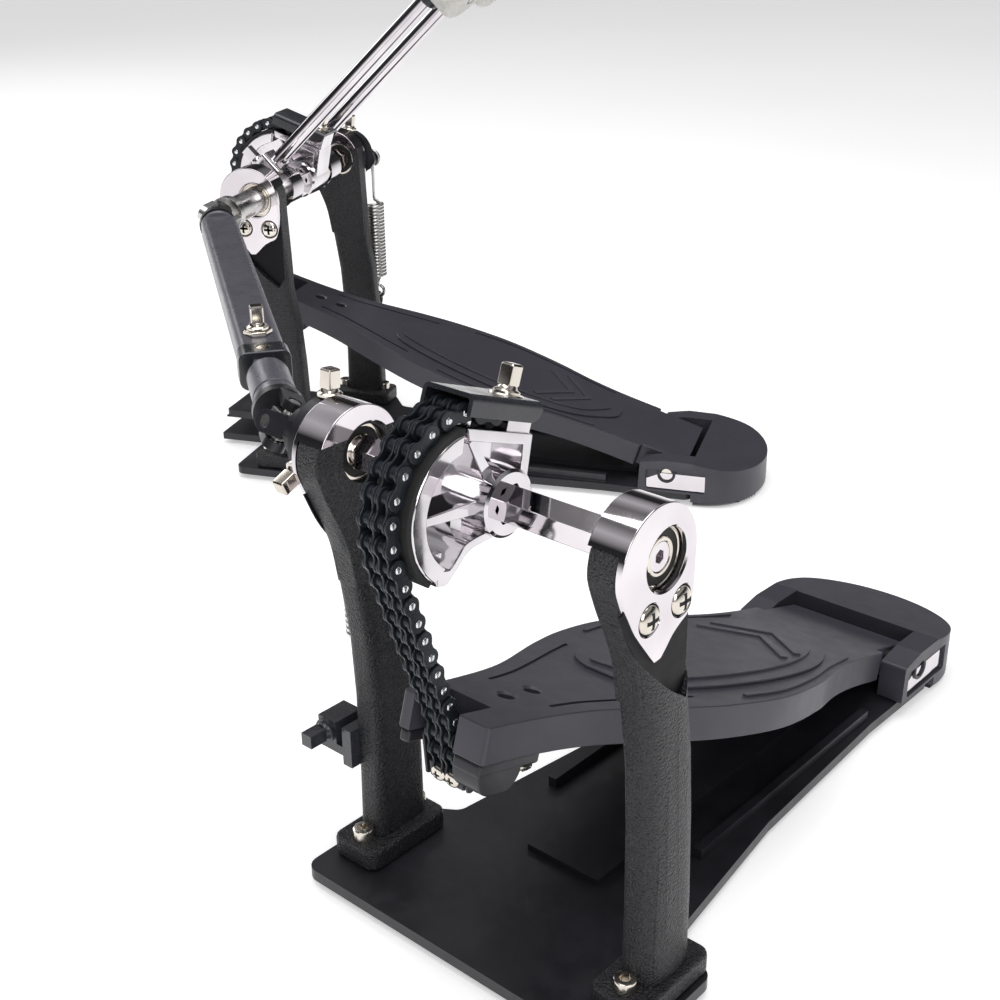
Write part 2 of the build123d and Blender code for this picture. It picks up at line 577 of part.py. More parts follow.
def chain_group(pins, first, last):
    """One run of links that keeps its shape, from pin first to pin last.

    Where two runs meet, the outer link carries the pin and the inner link the bored rollers.
    """
    pieces, bores = [], []
    for k in range(first, last):
        pieces += chain_link(pins[k], pins[k + 1], k % 2 == 0)
    for k in range(first, last + 1):
        y, z = pins[k]
        shared = (k == first and k > 0) or (k == last and k < len(pins) - 1)
        own_link = first if k == first else last - 1
        inner_end = shared and own_link % 2 == 1
        if inner_end:
            bores.append(rod(on_axle(-9, y, z), on_axle(9, y, z), CHAIN_PIN_R + 0.1))
        else:
            pieces.append(rod(on_axle(-7.1, y, z), on_axle(7.1, y, z), CHAIN_PIN_R))
        if inner_end or not shared:
            for x0, x1 in ((-4.9, -1.4), (1.4, 4.9)):
                pieces.append(rod(on_axle(x0, y, z), on_axle(x1, y, z), ROLLER_R))
    group = (Part() + pieces) - bores if bores else Part() + pieces
    return Pos(CAM_X, 0, 0) * group


# ---------------------------------------------------------------- return spring
def spring_line():
    low = Vector(SPRING_X, -LEVER_ARM, SPRING_LOW_Z)
    high = Vector(SPRING_X, lever_eye[0], H + lever_eye[1])
    return low, high


def spring_coil():
    """Close-wound body of the spring with its lower eye, drawn as a ribbed sleeve."""
    low, high = spring_line()
    up = (high - low).normalized()
    start, end = low + up * 12, low + up * 66
    wire, turns = 1.2, 13
    gap = (end - start).length / turns
    body = rod(start, end, SPRING_R - wire)
    for k in range(turns):
        centre = start + up * (gap * (k + 0.5))
        body += Plane(origin=centre, z_dir=up) * Torus(SPRING_R - wire, wire)
    body += rod(low + up * 6.1, start + up * 1, 1.2)
    ring = Plane(origin=low + up * 1.7, x_dir=(0, 1, 0), z_dir=(1, 0, 0)) * Torus(4.4, 1.2)
    return body + ring


def spring_hook():
    """Upper end of the spring: straight shank and the eye round the lever's pin."""
    low, high = spring_line()
    up = (high - low).normalized()
    ring = Plane(origin=high, x_dir=(0, 1, 0), z_dir=(1, 0, 0)) * Torus(5.0, 1.2)
    return ring + rod(low + up * 67, high - up * 4.4, 1.2)


# ---------------------------------------------------------------- beaters
rod_dir = Vector(0, -sin(radians(BEATER_LEAN)), cos(radians(BEATER_LEAN)))
strike_dir = Vector(0, cos(radians(BEATER_LEAN)), sin(radians(BEATER_LEAN)))


def hub_bolt(x):
    seat = Vector(*on_axle(x, 0, 0)) + strike_dir * (ROD_OFFSET + 8.2)
    return key_bolt(seat, strike_dir, 3.4)


def beater_hub(side):
    """Block clamped to the axle, bored for the beater's rod in front of the axle."""
    x = BEATER_X[side]
    centre = Vector(*on_axle(x, 0, 0))
    body = rod(on_axle(x - 8, 0, 0), on_axle(x + 8, 0, 0), 12.0)
    plane = Plane(origin=centre, x_dir=(1, 0, 0), z_dir=strike_dir)
    cheek = extrude(plane * RectangleRounded(16, 22, 3), ROD_OFFSET + 8)
    body += cheek
    hole = centre + strike_dir * ROD_OFFSET
    body -= rod(hole - rod_dir * 40, hole + rod_dir * 40, ROD_R + RUN)
    body -= rod(hole, hole + strike_dir * 20, 3.05)
    if side == "right":
        body -= prism(on_axle(x - 20, 0, 0), on_axle(x + 20, 0, 0), HEX + 0.04, 6)
        return body
    body -= rod(on_axle(x - 20, 0, 0), on_axle(x + 20, 0, 0), 8.02)
    return solids(body, hub_bolt(x))


def beater_rod(side):
    hole = Vector(*on_axle(BEATER_X[side], 0, 0)) + strike_dir * ROD_OFFSET
    return rod(hole - rod_dir * 26, hole + rod_dir * 176, ROD_R)


def beater_head(side):
    hole = Vector(*on_axle(BEATER_X[side], 0, 0)) + strike_dir * ROD_OFFSET
    centre = hole + rod_dir * 180
    body = rod(centre - strike_dir * 20, centre + strike_dir * 20, 24.0)
    body = fillet(body.edges(), 3.0)
    body -= rod(hole + rod_dir * 100, hole + rod_dir * 176.05, ROD_R + 0.02)
    return body


def beater_axle():
    """Hollow stub in the right pedal's left-hand post: beater hub inside, yoke outside."""
    inner_end, outer_end = -23.5, 14.0 - JOINT_X["right"]
    body = rod(on_axle(outer_end, 0, 0), on_axle(inner_end, 0, 0), 8.0)
    body -= rod(on_axle(-60, 0, 0), on_axle(inner_end + 1, 0, 0), 4.0 + RUN)
    return body + yoke(-1, right_phase)


# ---------------------------------------------------------------- universal joints and drive shaft
# In mid stroke each axle yoke's pin is level.  At rest it is half the axle's travel away from that,
# and the cross is tilted by the amount that keeps its other pin square to the drive shaft.
left_phase = AXLE_TRAVEL / 2
shaft_phase = degrees(atan2(tan(radians(left_phase)), cos(radians(LEFT_BEND))))
right_phase = degrees(atan2(tan(radians(shaft_phase)) * cos(radians(RIGHT_BEND)), 1))


def yoke_pin(phase):
    """Direction of an axle yoke's pin in the pedal frame, at rest."""
    return Vector(0, cos(radians(phase)), sin(radians(phase)))


def fork(centre, back, pin, bore):
    """Two arms that hold the pin at centre, joined to a round root behind it."""
    side = back.cross(pin).normalized()
    body = rod(centre + back * 12, centre + back * 17, 10.5)
    for sign in (-1, 1):
        inner = centre + pin * (sign * 6.6)
        plane = Plane(origin=inner, x_dir=back, z_dir=pin * sign)
        arm = Pos(7, 0) * Rectangle(14, 9) + Circle(4.5)
        body += extrude(plane * arm, 3.6)
    body -= rod(centre - pin * 15, centre + pin * 15, bore)
    outside = rod(centre + back * 11, centre + back * 40, 30)
    outside -= rod(centre + back * 11, centre + back * 40, 10.5)
    return body - outside


def yoke(out, phase):
    """Axle-side fork of a universal joint, outboard of a post along out."""
    joint = JOINT_X["left"] if out > 0 else JOINT_X["right"]
    centre = Vector(*on_axle(out * joint, 0, 0))
    back = Vector(-out, 0, 0)
    return fork(centre, back, yoke_pin(phase), TRUNNION_R + RUN)


def cross(centre, first, second, loose):
    """Four-armed cross.  Its first pin runs in the axle's yoke and its second in the shaft's."""
    shape = Box(9.5, 9.5, 9.5) + Cylinder(TRUNNION_R, 20) + Rot(0, 90, 0) * Cylinder(loose, 20)
    return Plane(origin=centre, x_dir=second, z_dir=first) * shape


def turned(vector, splay):
    return vector.rotate(Axis.Z, splay)


left_pin = turned(yoke_pin(left_phase), SPLAY)
right_pin = yoke_pin(right_phase)
left_shaft_pin = link_dir.cross(left_pin).normalized()
right_shaft_pin = link_dir.cross(right_pin).normalized()


def left_yoke():
    body = yoke(1, left_phase)
    joint = JOINT_X["left"]
    body += rod(on_axle(joint - 19, 0, 0), on_axle(joint - 12, 0, 0), 9.0)
    body -= rod(on_axle(joint - 25, 0, 0), on_axle(joint - 7.98, 0, 0), JOURNAL_R + 0.02)
    return body


def drive_rod():
    """Left-hand part of the drive shaft: fork, round body, and a bar that slides in the tube."""
    start = left_joint
    body = fork(start, link_dir, left_shaft_pin, TRUNNION_R + 0.25)
    body += rod(start + link_dir * 17, start + link_dir * 56, 9.0)
    body += prism(start + link_dir * 56, start + link_dir * 230, BAR, 4)
    return body


def drive_tube():
    """Right-hand part: flat-sided tube with a collar, a locking bolt, and the second fork."""
    start = left_joint
    a, b = start + link_dir * TUBE_START, start + link_dir * TUBE_END
    plane = Plane(origin=a, x_dir=(link_dir.Y, -link_dir.X, 0), z_dir=link_dir)
    body = extrude(plane * RectangleRounded(TUBE_W, TUBE_H, 4), (b - a).length)
    body -= prism(a - link_dir, start + link_dir * 296, BAR + 0.4, 4)
    seat = start + link_dir * 92
    body -= rod(seat, seat + Vector(0, 0, 20), 3.02)
    body += fork(right_joint, link_dir * -1, right_shaft_pin, TRUNNION_R + 0.25)
    body += rod(b - link_dir, right_joint - link_dir * 16, 9.0)
    bolt = key_bolt(seat + Vector(0, 0, TUBE_H / 2 + 0.1), (0, 0, 1), 2.0)
    return solids(body, bolt)


# ---------------------------------------------------------------- hoop clamp (right pedal only)
def hoop_clamp_jaw():
    """Jaw that presses the drum's hoop on to the front of the base plate."""
    under = BASE_TOP + HOOP_GAP
    plate = block(-25.5, 25.5, -2, 58, under, under + 5)
    plate = fillet(plate.edges().filter_by(Axis.Z), 4)
    boss = rod((-25.5, 2, JAW_Z), (25.5, 2, JAW_Z), 5.0)
    lip = block(-25.5, 25.5, 40, 58, under - 0.01, under + 1)
    lip += block(-25.5, 25.5, -2, 6, JAW_Z, under + 1)
    body = plate + boss + lip
    body -= block(CLAMP_X - 4.6, CLAMP_X + 4.6, CLAMP_Y - 7, CLAMP_Y + 7, under - 6, under + 10)
    pin = rod((-32, 2, JAW_Z), (32, 2, JAW_Z), 2.5)
    return body + pin


def hoop_clamp_bolt():
    under = BASE_TOP + HOOP_GAP
    seat = (CLAMP_X, CLAMP_Y, under + 6.0)
    washer = rod((CLAMP_X, CLAMP_Y, under + 5.2), seat, 5.0)
    return key_bolt(seat, (0, 0, 1), HOOP_GAP + 9, 4.0) + washer


# ---------------------------------------------------------------- the assembly
def save_pedal(side):
    posts = {"left": ("left_outer_post", "left_inner_post"),
             "right": ("right_inner_post", "right_outer_post")}[side]
    save(side + "_base_plate", base_plate(side), side)
    save(side + "_base_pads", base_pads(), side)
    save(posts[0], post(-1), side)
    save(posts[1], post(1), side)
    save(side + "_post_caps", solids(post_cap(-1), post_cap(1)), side)
    save(side + "_frame_fasteners", frame_fasteners(), side)
    left_bore = 8.0 if side == "right" else JOURNAL_R
    save(side + "_bearings", solids(bearing(-1, left_bore), bearing(1, JOURNAL_R)), side)
    save(side + "_heel_plate", heel_plate(), side)
    save(side + "_spring_adjuster", spring_adjuster(), side)
    save(side + "_footboard", footboard(), side)
    save(side + "_toe_bracket", toe_bracket(), side)
    save(side + "_toe_screws", toe_screws(), side)
    save(side + "_axle", axle(side), side)
    save(side + "_cam", cam(), side)
    save(side + "_chain_clamp", chain_clamp(), side)
    save(side + "_key_bolts", key_bolts(side), side)
    save(side + "_spring_lever", spring_lever(), side)
    pins = chain_pins()
    stops = RUNS[1:] + (len(pins) - 1,)
    for number, (first, last) in enumerate(zip(RUNS, stops), start=1):
        save(side + "_chain_run_" + str(number), chain_group(pins, first, last), side)
    save(side + "_spring_coil", spring_coil(), side)
    save(side + "_spring_hook", spring_hook(), side)


if __name__ == "__main__":
    for pedal_side in ("right", "left"):
        save_pedal(pedal_side)
        save(pedal_side + "_beater_hub", beater_hub(pedal_side))
        save(pedal_side + "_beater_rod", beater_rod(pedal_side))
        save(pedal_side + "_beater_head", beater_head(pedal_side))
    save("left_yoke", left_yoke(), "left")
    save("beater_axle", beater_axle())
    save("left_cross", cross(left_joint, left_pin, left_shaft_pin, SHAFT_TRUNNION_R))
    save("right_cross", cross(right_joint, right_pin, right_shaft_pin, SHAFT_TRUNNION_R))
    save("drive_rod", drive_rod())
    save("drive_tube", drive_tube())
    save("hoop_clamp_jaw", hoop_clamp_jaw())
    save("hoop_clamp_bolt", hoop_clamp_bolt())
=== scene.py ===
from math import asin, atan2, cos, degrees, hypot, pi, radians, sin, sqrt

import bmesh
import bpy
from mathutils import Matrix, Vector


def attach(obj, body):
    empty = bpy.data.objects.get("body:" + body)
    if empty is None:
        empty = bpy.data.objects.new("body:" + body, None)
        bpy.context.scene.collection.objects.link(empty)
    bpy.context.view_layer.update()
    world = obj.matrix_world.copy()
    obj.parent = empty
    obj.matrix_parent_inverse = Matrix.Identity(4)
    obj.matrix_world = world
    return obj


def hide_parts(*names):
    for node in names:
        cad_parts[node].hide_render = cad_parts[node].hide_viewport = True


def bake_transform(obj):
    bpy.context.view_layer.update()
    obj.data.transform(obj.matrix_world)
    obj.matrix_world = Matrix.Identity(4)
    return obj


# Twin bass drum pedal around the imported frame.  Shapes are drawn in millimetres in a pedal's
# own frame (x across, y towards the drum, z up) and placed in metres in the row frame.

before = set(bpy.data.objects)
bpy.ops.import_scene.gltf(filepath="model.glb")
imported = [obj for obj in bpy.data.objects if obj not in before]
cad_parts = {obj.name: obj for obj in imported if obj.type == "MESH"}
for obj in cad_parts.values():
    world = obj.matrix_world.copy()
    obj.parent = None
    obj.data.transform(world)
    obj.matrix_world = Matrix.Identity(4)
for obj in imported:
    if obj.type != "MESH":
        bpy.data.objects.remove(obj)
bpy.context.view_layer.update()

MM = 0.001
H = 185.0
POST_X = 66.0
HINGE = (-257.0, 20.0)
LEFT_JOINT_X, RIGHT_JOINT_X = 104.0, 124.0
LINK = 343.0
TUBE_START, TUBE_END = 66.0, 320.0
LEFT_BEND, RIGHT_BEND = 34.4, 31.1
SPLAY = LEFT_BEND + RIGHT_BEND
SPRING_X = 84.0
LEVER_ARM = 16.0
CHAIN_LEAN = 19.5
CLAMP_FALL = 20.0
PITCH = 8.0
CHAIN_R = 32.5
CAM_X = 4.0
CAM_CENTRE = (15.5, 2.0)
THREAD = 0.8
ROOT = {"right": "root", "left": "left_frame"}

link_dir = Vector((cos(radians(RIGHT_BEND)), sin(radians(RIGHT_BEND)), 0))
right_joint = Vector((-RIGHT_JOINT_X, 0, H))
left_joint = right_joint - link_dir * LINK
left_axis = Vector((cos(radians(SPLAY)), sin(radians(SPLAY)), 0))
left_origin = left_joint - left_axis * LEFT_JOINT_X
left_origin.z = 0
SCALE = Matrix.Scale(MM, 4)
PLACE = {
    "right": SCALE,
    "left": SCALE @ Matrix.Translation(left_origin) @ Matrix.Rotation(radians(SPLAY), 4, "Z"),
}
SHAFT = SCALE @ Matrix.Translation(left_joint) @ Matrix.Rotation(radians(RIGHT_BEND), 4, "Z")
CAM_SHIFT = Matrix.Translation((CAM_X, 0, 0))


# ---------------------------------------------------------------- materials
def linked(name, data):
    obj = bpy.data.objects.new(name, data)
    bpy.context.scene.collection.objects.link(obj)
    return obj


def node_tree(name):
    mat = bpy.data.materials.new(name)
    mat.use_nodes = True
    tree = mat.node_tree
    shader = tree.nodes["Principled BSDF"]
    coords = tree.nodes.new("ShaderNodeTexCoord").outputs["Object"]
    return mat, tree, shader, coords


def set_sockets(node, **values):
    """Set input sockets by name, written with _ for a space."""
    for socket, value in values.items():
        node.inputs[socket.replace("_", " ")].default_value = value


def noise_out(tree, coords, scale, detail=3.0, rough=0.55):
    tex = tree.nodes.new("ShaderNodeTexNoise")
    set_sockets(tex, Scale=scale, Detail=detail, Roughness=rough)
    tree.links.new(coords, tex.inputs["Vector"])
    return tex.outputs["Fac"]


def ramp(tree, value, low, high, start=0.35, end=0.65):
    node = tree.nodes.new("ShaderNodeMapRange")
    set_sockets(node, From_Min=start, From_Max=end, To_Min=low, To_Max=high)
    tree.links.new(value, node.inputs["Value"])
    return node.outputs["Result"]


def tint(tree, factor, low, high):
    node = tree.nodes.new("ShaderNodeMix")
    node.data_type = "RGBA"
    node.inputs["A"].default_value = (*low, 1)
    node.inputs["B"].default_value = (*high, 1)
    tree.links.new(factor, node.inputs["Factor"])
    return node.outputs["Result"]


def bump(tree, shader, height, strength, distance):
    node = tree.nodes.new("ShaderNodeBump")
    set_sockets(node, Strength=strength, Distance=distance)
    tree.links.new(height, node.inputs["Height"])
    tree.links.new(node.outputs["Normal"], shader.inputs["Normal"])
    return node


def worn(tree, colour, wear_colour, amount):
    """Blend towards a lighter colour on the sharpest outer edges."""
    edge = tree.nodes.new("ShaderNodeNewGeometry").outputs["Pointiness"]
    factor = ramp(tree, edge, 0.0, amount, 0.52, 0.62)
    node = tree.nodes.new("ShaderNodeMix")
    node.data_type = "RGBA"
    node.inputs["B"].default_value = (*wear_colour, 1)
    tree.links.new(factor, node.inputs["Factor"])
    tree.links.new(colour, node.inputs["A"])
    return node.outputs["Result"]


def coated(name, dark, light, rough, grain, depth, metallic=0.0, coat=0.0, wear=0.25, shine=0.5):
    """Paint, powder coat, oxide or plating: clouded colour, uneven roughness, fine grain."""
    mat, tree, shader, coords = node_tree(name)
    clouds = noise_out(tree, coords, 35.0, 4.0)
    colour = tint(tree, ramp(tree, clouds, 0.0, 1.0), dark, light)
    if wear:
        brighter = tuple(min(1.0, c * 2.4 + 0.01) for c in light)
        colour = worn(tree, colour, brighter, wear)
    tree.links.new(colour, shader.inputs["Base Color"])
    patches = noise_out(tree, coords, 110.0, 5.0)
    tree.links.new(ramp(tree, patches, rough[0], rough[1]), shader.inputs["Roughness"])
    bump(tree, shader, noise_out(tree, coords, grain, 3.0), 0.5, depth)
    set_sockets(shader, Metallic=metallic, Specular_IOR_Level=shine)
    if coat:
        set_sockets(shader, Coat_Weight=coat, Coat_Roughness=0.12)
    return mat


def leathery(name, dark, light):
    """Cast post finish: fine pebbled texture of irregular cells under satin paint; the colour is painted
    light on the raised cell tops and painted shade in the seams.
    """
    mat, tree, shader, coords = node_tree(name)
    warp = tree.nodes.new("ShaderNodeTexNoise")
    warp.inputs["Scale"].default_value = 260.0
    tree.links.new(coords, warp.inputs["Vector"])
    mix = tree.nodes.new("ShaderNodeMix")
    mix.data_type = "RGBA"
    mix.blend_type = "ADD"
    mix.inputs["Factor"].default_value = 0.0012
    tree.links.new(coords, mix.inputs["A"])
    tree.links.new(warp.outputs["Color"], mix.inputs["B"])
    cells = tree.nodes.new("ShaderNodeTexVoronoi")
    cells.feature = "SMOOTH_F1"
    set_sockets(cells, Scale=1150.0, Smoothness=0.35)
    tree.links.new(mix.outputs["Result"], cells.inputs["Vector"])
    fine = noise_out(tree, coords, 1100.0, 3.0)
    height = tree.nodes.new("ShaderNodeMath")
    height.operation = "MULTIPLY_ADD"
    height.inputs[1].default_value = -0.9
    tree.links.new(cells.outputs["Distance"], height.inputs[0])
    tree.links.new(fine, height.inputs[2])
    # Painted light and shade: the colour follows the cell bump, lighter on the raised tops and darker in
    # the seams between cells.
    colour = tint(tree, ramp(tree, cells.outputs["Distance"], 1.0, 0.0, 0.1, 0.7), dark, light)
    tree.links.new(colour, shader.inputs["Base Color"])
    tree.links.new(ramp(tree, fine, 0.30, 0.44), shader.inputs["Roughness"])
    bump(tree, shader, height.outputs["Value"], 1.0, 0.0007)
    return mat


def plated(name, low, high, rough, brushed=0.0, pits=0.00002):
    """Polished or satin metal: faint colour drift, smudged roughness, faint casting ripple."""
    mat, tree, shader, coords = node_tree(name)
    drift = noise_out(tree, coords, 28.0, 2.0)
    tree.links.new(tint(tree, ramp(tree, drift, 0.0, 1.0), low, high), shader.inputs["Base Color"])
    smudge = noise_out(tree, coords, 75.0, 6.0, 0.65)
    tree.links.new(ramp(tree, smudge, rough[0], rough[1]), shader.inputs["Roughness"])
    shader.inputs["Metallic"].default_value = 1.0
    bump(tree, shader, noise_out(tree, coords, 420.0 if brushed else 60.0, 2.0), 0.35, pits)
    return mat


def felted(name, low, high):
    mat, tree, shader, coords = node_tree(name)
    clumps = noise_out(tree, coords, 420.0, 8.0, 0.7)
    tree.links.new(tint(tree, ramp(tree, clumps, 0.0, 1.0), low, high), shader.inputs["Base Color"])
    set_sockets(shader, Roughness=0.95, Sheen_Weight=0.35, Sheen_Roughness=0.5)
    fibres = noise_out(tree, coords, 1500.0, 6.0, 0.75)
    bump(tree, shader, fibres, 0.9, 0.0006)
    return mat


MAT = {
    "casting": leathery("cast_black", (0.008, 0.008, 0.010), (0.030, 0.030, 0.035)),
    # Smooth dark finish of the post panels; the same material is laid as painted shade in the screw wells
    # and the floors of the cross recesses.
    "recess": coated("smooth_black_and_painted_shade", (0.004, 0.004, 0.005), (0.008, 0.008, 0.010), (0.40, 0.50),
                     900.0, 0.00008, wear=0.0, shine=0.15),
    "board": coated("board_grey", (0.040, 0.038, 0.050), (0.046, 0.044, 0.057), (0.38, 0.44),
                    1500.0, 0.00006, wear=0.30),
    "base": coated("base_black", (0.010, 0.010, 0.013), (0.020, 0.020, 0.025), (0.30, 0.42),
                   1300.0, 0.00010, wear=0.25),
    "fold": coated("clamp_black", (0.012, 0.013, 0.016), (0.022, 0.023, 0.028), (0.22, 0.34),
                   1600.0, 0.00006, wear=0.35, coat=0.3),
    "chain": coated("chain_black", (0.006, 0.008, 0.011), (0.013, 0.016, 0.021), (0.16, 0.28),
                    900.0, 0.00005, wear=0.45, shine=0.30),
    "tube": coated("tube_grey", (0.120, 0.118, 0.142), (0.136, 0.133, 0.158), (0.26, 0.32),
                   1500.0, 0.00002, metallic=0.35, wear=0.2),
    "joint": coated("joint_black", (0.014, 0.014, 0.017), (0.030, 0.030, 0.036), (0.26, 0.38),
                    1100.0, 0.00008, metallic=0.3, wear=0.3),
    "chrome": plated("chrome", (0.66, 0.62, 0.65), (0.80, 0.76, 0.78), (0.03, 0.09)),
    "cast_chrome": plated("cast_chrome", (0.60, 0.58, 0.60), (0.78, 0.75, 0.77), (0.05, 0.14),
                          pits=0.00006),
    "nickel": plated("nickel", (0.62, 0.57, 0.50), (0.78, 0.73, 0.66), (0.10, 0.20)),
    "steel": plated("steel", (0.56, 0.55, 0.54), (0.70, 0.69, 0.68), (0.18, 0.32), brushed=1.0),
    "rivet": plated("rivet", (0.66, 0.67, 0.68), (0.82, 0.83, 0.84), (0.14, 0.24), brushed=1.0),
    "rubber": coated("rubber_black", (0.008, 0.008, 0.008), (0.018, 0.018, 0.018), (0.62, 0.80),
                     700.0, 0.0002, wear=0.0),
    "felt": felted("felt_white", (0.62, 0.60, 0.55), (0.82, 0.80, 0.76)),
}


# ---------------------------------------------------------------- mesh helpers
def ordered(bm):
    bmesh.ops.recalc_face_normals(bm, faces=bm.faces)
    return bm


def slab(points, low, high, axis="x"):
    """Closed prism of an outline along axis; the outline is in the two other coordinates."""
    bm = bmesh.new()
    at = "xyz".index(axis)
    rows = [[bm.verts.new((*p[:at], t, *p[at:])) for p in points] for t in (low, high)]
    bm.faces.new(rows[0])
    bm.faces.new(rows[1])
    for k in range(len(points)):
        j = (k + 1) % len(points)
        bm.faces.new((rows[0][k], rows[0][j], rows[1][j], rows[1][k]))
    return ordered(bm)


def lofted(rings):
    """Skin over closed rings of equal count, capped at both ends."""
    bm = bmesh.new()
    rows = [[bm.verts.new(p) for p in ring] for ring in rings]
    for lower, upper in zip(rows, rows[1:]):
        for k in range(len(lower)):
            j = (k + 1) % len(lower)
            bm.faces.new((lower[k], lower[j], upper[j], upper[k]))
    bm.faces.new(rows[0])
    bm.faces.new(rows[-1])
    return ordered(bm)


def side_axes(axis):
    helper = Vector((0, 0, 1)) if abs(axis.z) < 0.9 else Vector((1, 0, 0))
    u = helper.cross(axis).normalized()
    return u, axis.cross(u)


def turned(start, toward, profile, segments=40):
    """Round piece: profile gives (distance from start, radius) along toward."""
    start, axis = Vector(start), Vector(toward).normalized()
    u, v = side_axes(axis)
    bm = bmesh.new()
    rows = []
    for t, r in profile:
        centre = start + axis * t
        if r < 1e-5:
            rows.append([bm.verts.new(centre)])
            continue
        row = []
        for k in range(segments):
            a = 2 * pi * k / segments
            row.append(bm.verts.new(centre + (u * cos(a) + v * sin(a)) * r))
        rows.append(row)
    for lower, upper in zip(rows, rows[1:]):
        count = max(len(lower), len(upper))
        for k in range(count):
            j = (k + 1) % count
            corners = [lower[k % len(lower)], lower[j % len(lower)],
                       upper[j % len(upper)], upper[k % len(upper)]]
            unique = list(dict.fromkeys(corners))
            if len(unique) > 2:
                bm.faces.new(unique)
    for row in (rows[0], rows[-1]):
        if len(row) > 2:
            bm.faces.new(row)
    return ordered(bm)


def swept(path, radius, sides=10):
    """Round wire along a path of points."""
    last = len(path) - 1
    rows, u = [], None
    for k, point in enumerate(path):
        axis = (path[min(k + 1, last)] - path[max(k - 1, 0)]).normalized()
        if u is None:
            u = side_axes(axis)[0]
        u = (u - axis * u.dot(axis)).normalized()
        v = axis.cross(u)
        turns = [2 * pi * s / sides for s in range(sides)]
        rows.append([point + (u * cos(a) + v * sin(a)) * radius for a in turns])
    return lofted(rows)


def bar(start, toward, length, flats, sides=6, spin=0.0, chamfer=0.4):
    """Polygon bar with eased corners and chamfered ends."""
    start, axis = Vector(start), Vector(toward).normalized()
    u, v = side_axes(axis)
    radius = flats / 2 / cos(pi / sides)
    rings = []
    taper = chamfer / flats
    for t, shrink in ((0, 1 - taper), (chamfer, 1), (length - chamfer, 1),
                      (length - chamfer * 0.3, 1 - taper * 0.8), (length, 1 - taper * 2)):
        ring = []
        for k in range(sides):
            for offset, reach in ((-0.09, 0.955), (0, 0.985), (0.09, 0.955)):
                a = 2 * pi * k / sides + spin + offset * 6 / sides
                ring.append(start + axis * t + (u * cos(a) + v * sin(a)) * radius * shrink * reach)
        rings.append(ring)
    return lofted(rings)


def joined(*parts):
    """One mesh from several closed ones; the parts are used up."""
    whole = bmesh.new()
    for part in parts:
        scratch = bpy.data.meshes.new("scratch")
        part.to_mesh(scratch)
        part.free()
        whole.from_mesh(scratch)
        bpy.data.meshes.remove(scratch)
    return whole


def boolean(bm, tool, operation="DIFFERENCE", crossing=False):
    """crossing: the body is several closed parts that overlap one another."""
    objects = []
    for name, source in (("scratch_a", bm), ("scratch_b", tool)):
        mesh = bpy.data.meshes.new(name)
        source.to_mesh(mesh)
        source.free()
        objects.append(linked(name, mesh))
    body, cutter = objects
    modifier = body.modifiers.new("cut", "BOOLEAN")
    modifier.operation = operation
    modifier.solver = "EXACT"
    modifier.use_self = crossing or operation == "UNION"
    modifier.object = cutter
    depsgraph = bpy.context.evaluated_depsgraph_get()
    mesh = bpy.data.meshes.new_from_object(body.evaluated_get(depsgraph))
    result = bmesh.new()
    result.from_mesh(mesh)
    for obj in objects:
        data = obj.data
        bpy.data.objects.remove(obj)
        bpy.data.meshes.remove(data)
    bpy.data.meshes.remove(mesh)
    bmesh.ops.remove_doubles(result, verts=result.verts, dist=0.004)
    return result


def cut(bm, *tools):
    """Take each closed tool away in turn, so that tools may overlap."""
    for tool in tools:
        bm = boolean(bm, tool)
    return bm


def eased(bm, width, segments=2, angle=32.0, tidy=True):
    """Round the edges sharper than angle."""
    if tidy:
        bmesh.ops.dissolve_limit(bm, angle_limit=radians(0.6), verts=bm.verts, edges=bm.edges)
    edges = [e for e in bm.edges if len(e.link_faces) == 2 and e.calc_face_angle(0) > radians(angle)]
    if edges:
        bmesh.ops.bevel(bm, geom=edges, offset=width, offset_type="OFFSET", segments=segments,
                        profile=0.5, affect="EDGES", clamp_overlap=True)
    return bm


def finished(name, bm, matrix, material, body, replaces=(), crease=38.0, weighted=True):
    """Make the piece, shade it, and hang it on its CAD body."""
    bmesh.ops.transform(bm, matrix=matrix, verts=bm.verts)
    if matrix.determinant() < 0:
        bmesh.ops.reverse_faces(bm, faces=bm.faces)
    for face in bm.faces:
        face.smooth = True
    for edge in bm.edges:
        edge.smooth = len(edge.link_faces) != 2 or edge.calc_face_angle(0) < radians(crease)
    mesh = bpy.data.meshes.new(name)
    bm.to_mesh(mesh)
    bm.free()
    obj = linked(name, mesh)
    if weighted:
        modifier = obj.modifiers.new("normals", "WEIGHTED_NORMAL")
        modifier.keep_sharp = True
        depsgraph = bpy.context.evaluated_depsgraph_get()
        shaded = bpy.data.meshes.new_from_object(obj.evaluated_get(depsgraph))
        obj.modifiers.clear()
        obj.data = shaded
        bpy.data.meshes.remove(mesh)
        obj.data.name = name
    obj.data.materials.clear()
    obj.data.materials.append(MAT[material])
    if replaces:
        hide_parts(*replaces)
    if body:
        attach(obj, body)
    return obj


def skin(node, body, material, width=0.4, segments=2, angle=32.0):
    """The CAD node's own shape with its edges rounded."""
    bm = bmesh.new()
    bm.from_mesh(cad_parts[node].data)
    bmesh.ops.scale(bm, vec=(1000, 1000, 1000), verts=bm.verts)
    bmesh.ops.remove_doubles(bm, verts=bm.verts, dist=0.003)
    eased(bm, width, segments, angle)
    return finished(node + "_skin", bm, SCALE, material, body, (node,))


